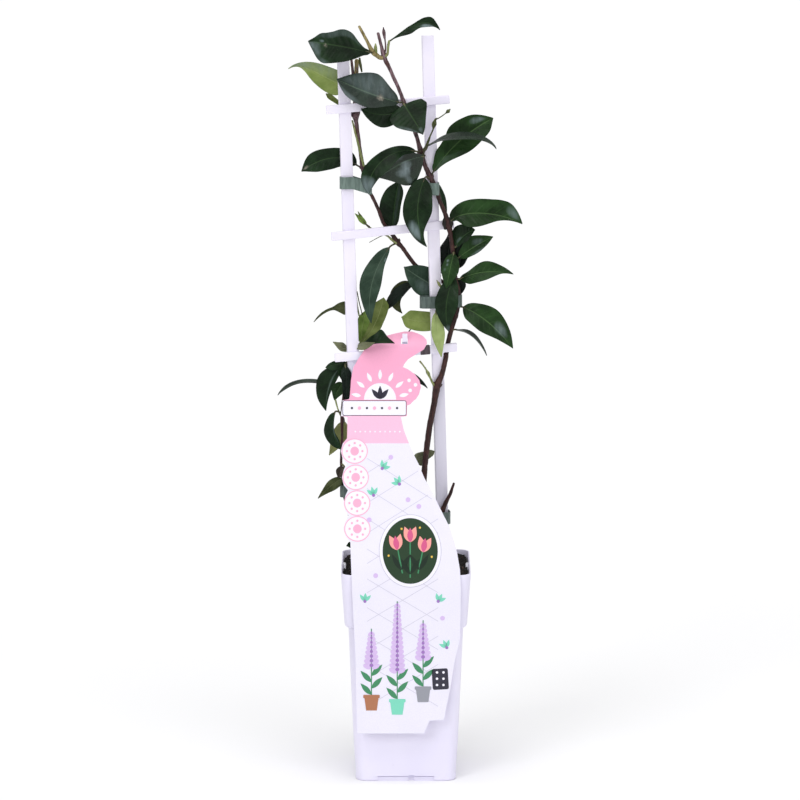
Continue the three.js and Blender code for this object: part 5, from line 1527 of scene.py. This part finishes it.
def add_leaf(shape, samples, row, slots, patches=()):
    place, midrib, form, facing, fold, _ = row
    if isinstance(place, tuple):
        joint = Vector(place)
    else:
        joint = min(samples, key=lambda sample: abs(sample.z - place))
    right, left = leaf_edges(form)
    face = Vector(facing)
    phase = (joint.z * 0.7) % 6.28
    base_along = bezier_along(midrib, 0)
    grid, marks = [], []
    for step in range(LEAF_STEPS + 1):
        u = step / LEAF_STEPS
        t, right_half = spline(right, u)
        left_half = spline(left, u)[1]
        t = min(1, max(0, t))
        centre = bezier(midrib, t)
        along = bezier_along(midrib, min(t, 0.98))
        up = along.cross(face).cross(along).normalized()
        side = along.cross(up)
        thick = BLADE["thick"] - BLADE["thinning"] * t
        top, bottom = [], []
        for k in range(-LEAF_COLUMNS, LEAF_COLUMNS + 1):
            share = k / LEAF_COLUMNS
            share = math.copysign(abs(share) ** 0.9, share)
            half = right_half if share > 0 else left_half
            rise = blade_surface(u, share, t, half, fold * min(1, t * 4), phase)
            glow = patch_marks(patches, share, t)
            spot = centre + side * share * half * math.cos(math.radians(fold)) + up * rise
            edge_thin = 1 - 0.75 * abs(share) ** 6
            rib = BLADE["rib"] * (1 - 0.7 * t) * math.exp(-(abs(share) * half / BLADE["rib_half"]) ** 2)
            top.append((spot + up * thick * 0.5 * edge_thin, (share, t, 0.0, *glow)))
            bottom.append((spot - up * (thick * 0.5 * edge_thin + rib), (share, t, 1.0, 0.0, 0.0)))
        ring = top + bottom[::-1]
        grid.append([point for point, _ in ring])
        marks += [mark for _, mark in ring]
    shape.loft(grid, slots[0], marks=marks)
    add_petiole(shape, joint, midrib, base_along, slots[1])


def add_petiole(shape, joint, midrib, base_along, slot):
    base = bezier(midrib, 0)
    reach = (base - joint).length
    bend = base - base_along * reach * 0.35
    inside = bezier(midrib, 0.07)
    steps = PETIOLE["steps"]
    centres = [bezier([joint, bend, base], k / steps) for k in range(steps + 1)] + [inside]
    radii = [PETIOLE["radius"] - PETIOLE["thinning"] * min(1, k / 4) for k in range(steps + 1)] + [0.3]
    tube(shape, centres, radii, slot, 12)


def stem_samples(name):
    points = STEMS[name]
    return [stem_point(points, k / 400) for k in range(401)]


def make_leaves():
    for stem, rows in LEAVES.items():
        samples = stem_samples(stem)
        for i, row in enumerate(rows):
            label = f"{STEM_LABELS[stem]}_{i + 1:02d}"
            node = "leaf_" + label
            shape = Shape()
            add_leaf(shape, samples, row, (0, 1), PATCHES.get(label, ()))
            petiole = PETIOLE_PALE if row[5] in ("yellow", "light", "olive") else PETIOLE_DARK
            piece = shape.build("blade_" + label, [LEAF_TINTS[row[5]], petiole], GROWN_CREASE)
            finish_piece(piece, "leaf", node)


# The stems of each CAD node.
VINES = {
    "right_vine": ["right", "topTwig", "budStalk", "twigBud", "tipStalk", "sideShoot", "nodeShoot",
                   "leafBud", "lowerBud", "leftLump", "rightLump", "hiddenStalk"],
    "left_vine": ["left", "paleShoot", "leafShoot", "thinStalk", "leftTop", "twinStem", "hangingTwig"],
    "low_vine": ["low", "paleStalk", "innerStalk", "lowerStalk"],
    "cut_stem": ["cut"],
}
WOODY = ("right", "left", "low", "cut")  # these carry scars
# Stems whose finish isn't the plain bark, by the finish's place in the list of make_vines.
SHOOT_SLOTS = {stem: slot for slot, stems in {
    1: ("twigBud", "nodeShoot", "paleShoot", "leafShoot", "paleStalk", "lowerStalk", "tipStalk",
        "leafBud", "lowerBud"),
    3: ("topTwig", "leftTop"),
    4: ("sideShoot", "thinStalk", "innerStalk", "hiddenStalk", "hangingTwig"),
    5: ("leftLump", "rightLump"),
}.items() for stem in stems}


def make_vines():
    for node, stems in VINES.items():
        shape = Shape()
        finishes = [BARK, SHOOT, PETIOLE_DARK, OLIVE_BARK, MOSSY_SHOOT, NODE_BARK]
        for stem in stems:
            stem_tube(shape, stem, SHOOT_SLOTS.get(stem, 0))
            if stem in WOODY:
                node_scars(shape, stem, 0)
            for row in SMALL_LEAVES.get(stem, []):
                tint = LEAF_TINTS[row[5]]
                if tint not in finishes:
                    finishes.append(tint)
                add_leaf(shape, stem_samples(stem), row, (finishes.index(tint), 2))
        piece = shape.build(node + "_grown", finishes, GROWN_CREASE)
        finish_piece(piece, "stem", node)


# ---------- everything ----------

make_camera()
make_lights()

POT_PLASTIC = moulded_plastic("pot_plastic", (236, 232, 250), (230, 226, 246), 0.38)
LUG_PLASTIC = moulded_plastic("lug_plastic", (240, 240, 248), (214, 214, 226), 0.22)
TRELLIS_PLASTIC = moulded_plastic("trellis_plastic", (243, 238, 253), (236, 231, 249), 0.4)
# The right rail's plastic and the darker tape carry painted light and shade: the rail is painted darker
# below a height and a little lighter above it, and three ties are painted darker.
SHADED_RAIL_PLASTIC = moulded_plastic("shaded_rail_plastic", (246, 241, 255), (239, 234, 252), 0.4, (216, 213, 228))
CARD_WHITE = printed_plastic("card_white", (240, 238, 250))
CARD_PINK = printed_plastic("card_pink", (248, 172, 205))
CARD_PALE = printed_plastic("card_pale", (249, 195, 223))
CARD_PLANK = printed_plastic("card_plank", (236, 233, 248))
INKS = {name: printed_plastic("ink_" + name, color) for name, color in {
    "white": (243, 241, 252), "pink": (250, 178, 208), "rose": (214, 92, 140),
    "dark": (46, 44, 60), "shade": (206, 203, 220), "green": (64, 138, 96),
    "mint": (126, 216, 190), "lilac": (216, 190, 236), "violet": (158, 116, 190),
    "copper": (176, 116, 84), "steel": (150, 152, 162), "forest": (38, 62, 40),
    "moss": (24, 42, 30), "salmon": (246, 164, 156), "yellow": (238, 196, 84),
}.items()}
TAPE_GREY = tape_finish("tape_grey", (116, 134, 127), (96, 114, 108))
# The same grey tape painted darker, as painted shade, for the ties that lie in shade.
TAPE_PAINTED_SHADE = tape_finish("tape_painted_shade", (94, 108, 103), (76, 90, 86))
DARK_TAPE = tape_finish("tape_dark", (88, 76, 82), (66, 56, 62))
SOIL = soil_finish()
CRUMB = bark_finish("crumb", (26, 18, 16), (62, 44, 36))
PERLITE = moulded_plastic("perlite", (214, 214, 220), (168, 168, 176), 0.7)
BARK = bark_finish("bark", (30, 14, 14), (66, 35, 31), (72, 42, 36), (150, 122, 132))
OLIVE_BARK = bark_finish("olive_bark", (98, 86, 46), (160, 146, 100))
SHOOT = bark_finish("green_shoot", (100, 110, 60), (156, 164, 110), (122, 120, 78))
MOSSY_SHOOT = bark_finish("mossy_shoot", (46, 52, 28), (88, 96, 50), (78, 72, 50))
NODE_BARK = bark_finish("node_bark", (12, 10, 7), (31, 27, 15), (40, 37, 19))
PETIOLE_DARK = bark_finish("petiole_dark", (48, 46, 34), (86, 84, 56))
PETIOLE_PALE = bark_finish("petiole_pale", (110, 122, 70), (150, 158, 102))
# Each tint: dark, light, vein and underside colours, then roughness, gloss and wrinkles where set.
# Black and grey hold some shade and some pale sky as well as the leaf's own colour.
LEAF_TINTS = {name: leaf_finish("leaf_" + name, *facts) for name, facts in {
    "dark": ((17, 32, 17), (33, 54, 32), (62, 88, 52), (52, 70, 54)),
    "mid": ((26, 46, 22), (43, 71, 36), (88, 118, 70), (72, 98, 66)),
    "gloss": ((16, 32, 24), (32, 50, 38), (76, 98, 76), (70, 88, 76), 0.3, 0.3, 0.8),
    "wet": ((14, 28, 18), (30, 48, 32), (70, 92, 72), (70, 86, 76), 0.26, 0.35, 1.2),
    "grey": ((38, 48, 40), (62, 74, 64), (84, 96, 84), (76, 86, 78)),
    "sage": ((40, 58, 46), (60, 80, 66), (96, 116, 98), (80, 98, 84)),
    "moss": ((94, 98, 74), (124, 128, 98), (134, 138, 108), (120, 124, 98)),
    "khaki": ((112, 118, 70), (146, 150, 98), (156, 160, 110), (140, 146, 100)),
    "black": ((14, 20, 16), (28, 40, 32), (46, 54, 48), (40, 48, 44)),
    "brown": ((58, 52, 46), (84, 76, 68), (100, 92, 80), (86, 78, 70)),
    "yellow": ((112, 130, 68), (142, 158, 92), (150, 164, 102), (150, 160, 112)),
    "pale": ((132, 150, 90), (162, 178, 118), (172, 184, 128), (160, 170, 120)),
    "light": ((84, 112, 44), (132, 160, 80), (150, 170, 104), (128, 146, 92)),
    "olive": ((84, 98, 46), (120, 132, 76), (140, 150, 98), (122, 130, 86)),
    "drab": ((44, 52, 26), (82, 88, 56), (104, 108, 76), (96, 98, 76)),
}.items()}

make_pot()
make_soil()
make_soil_bits()
for rail_name, rail_facts in RAILS.items():
    make_rail(rail_name, rail_facts)
for rung_name, rung_facts in RUNGS.items():
    make_rung(rung_name, rung_facts)
make_rung_wrap()
for tie_name, tie_facts in TIES.items():
    make_tie(tie_name, tie_facts)
make_card()
make_print()
make_hook()
make_vines()
make_leaves()

floor_shape = Shape()
edge = FLOOR_HALF / MM
floor_shape.add([(-edge, -edge, 0), (edge, -edge, 0), (edge, edge, 0), (-edge, edge, 0)], [(0, 1, 2, 3)])
floor_finish = Finish("floor", 0.9, 0.1)
floor_finish.color((250, 250, 251))
floor = floor_shape.build("floor", [floor_finish.material], outward=False)
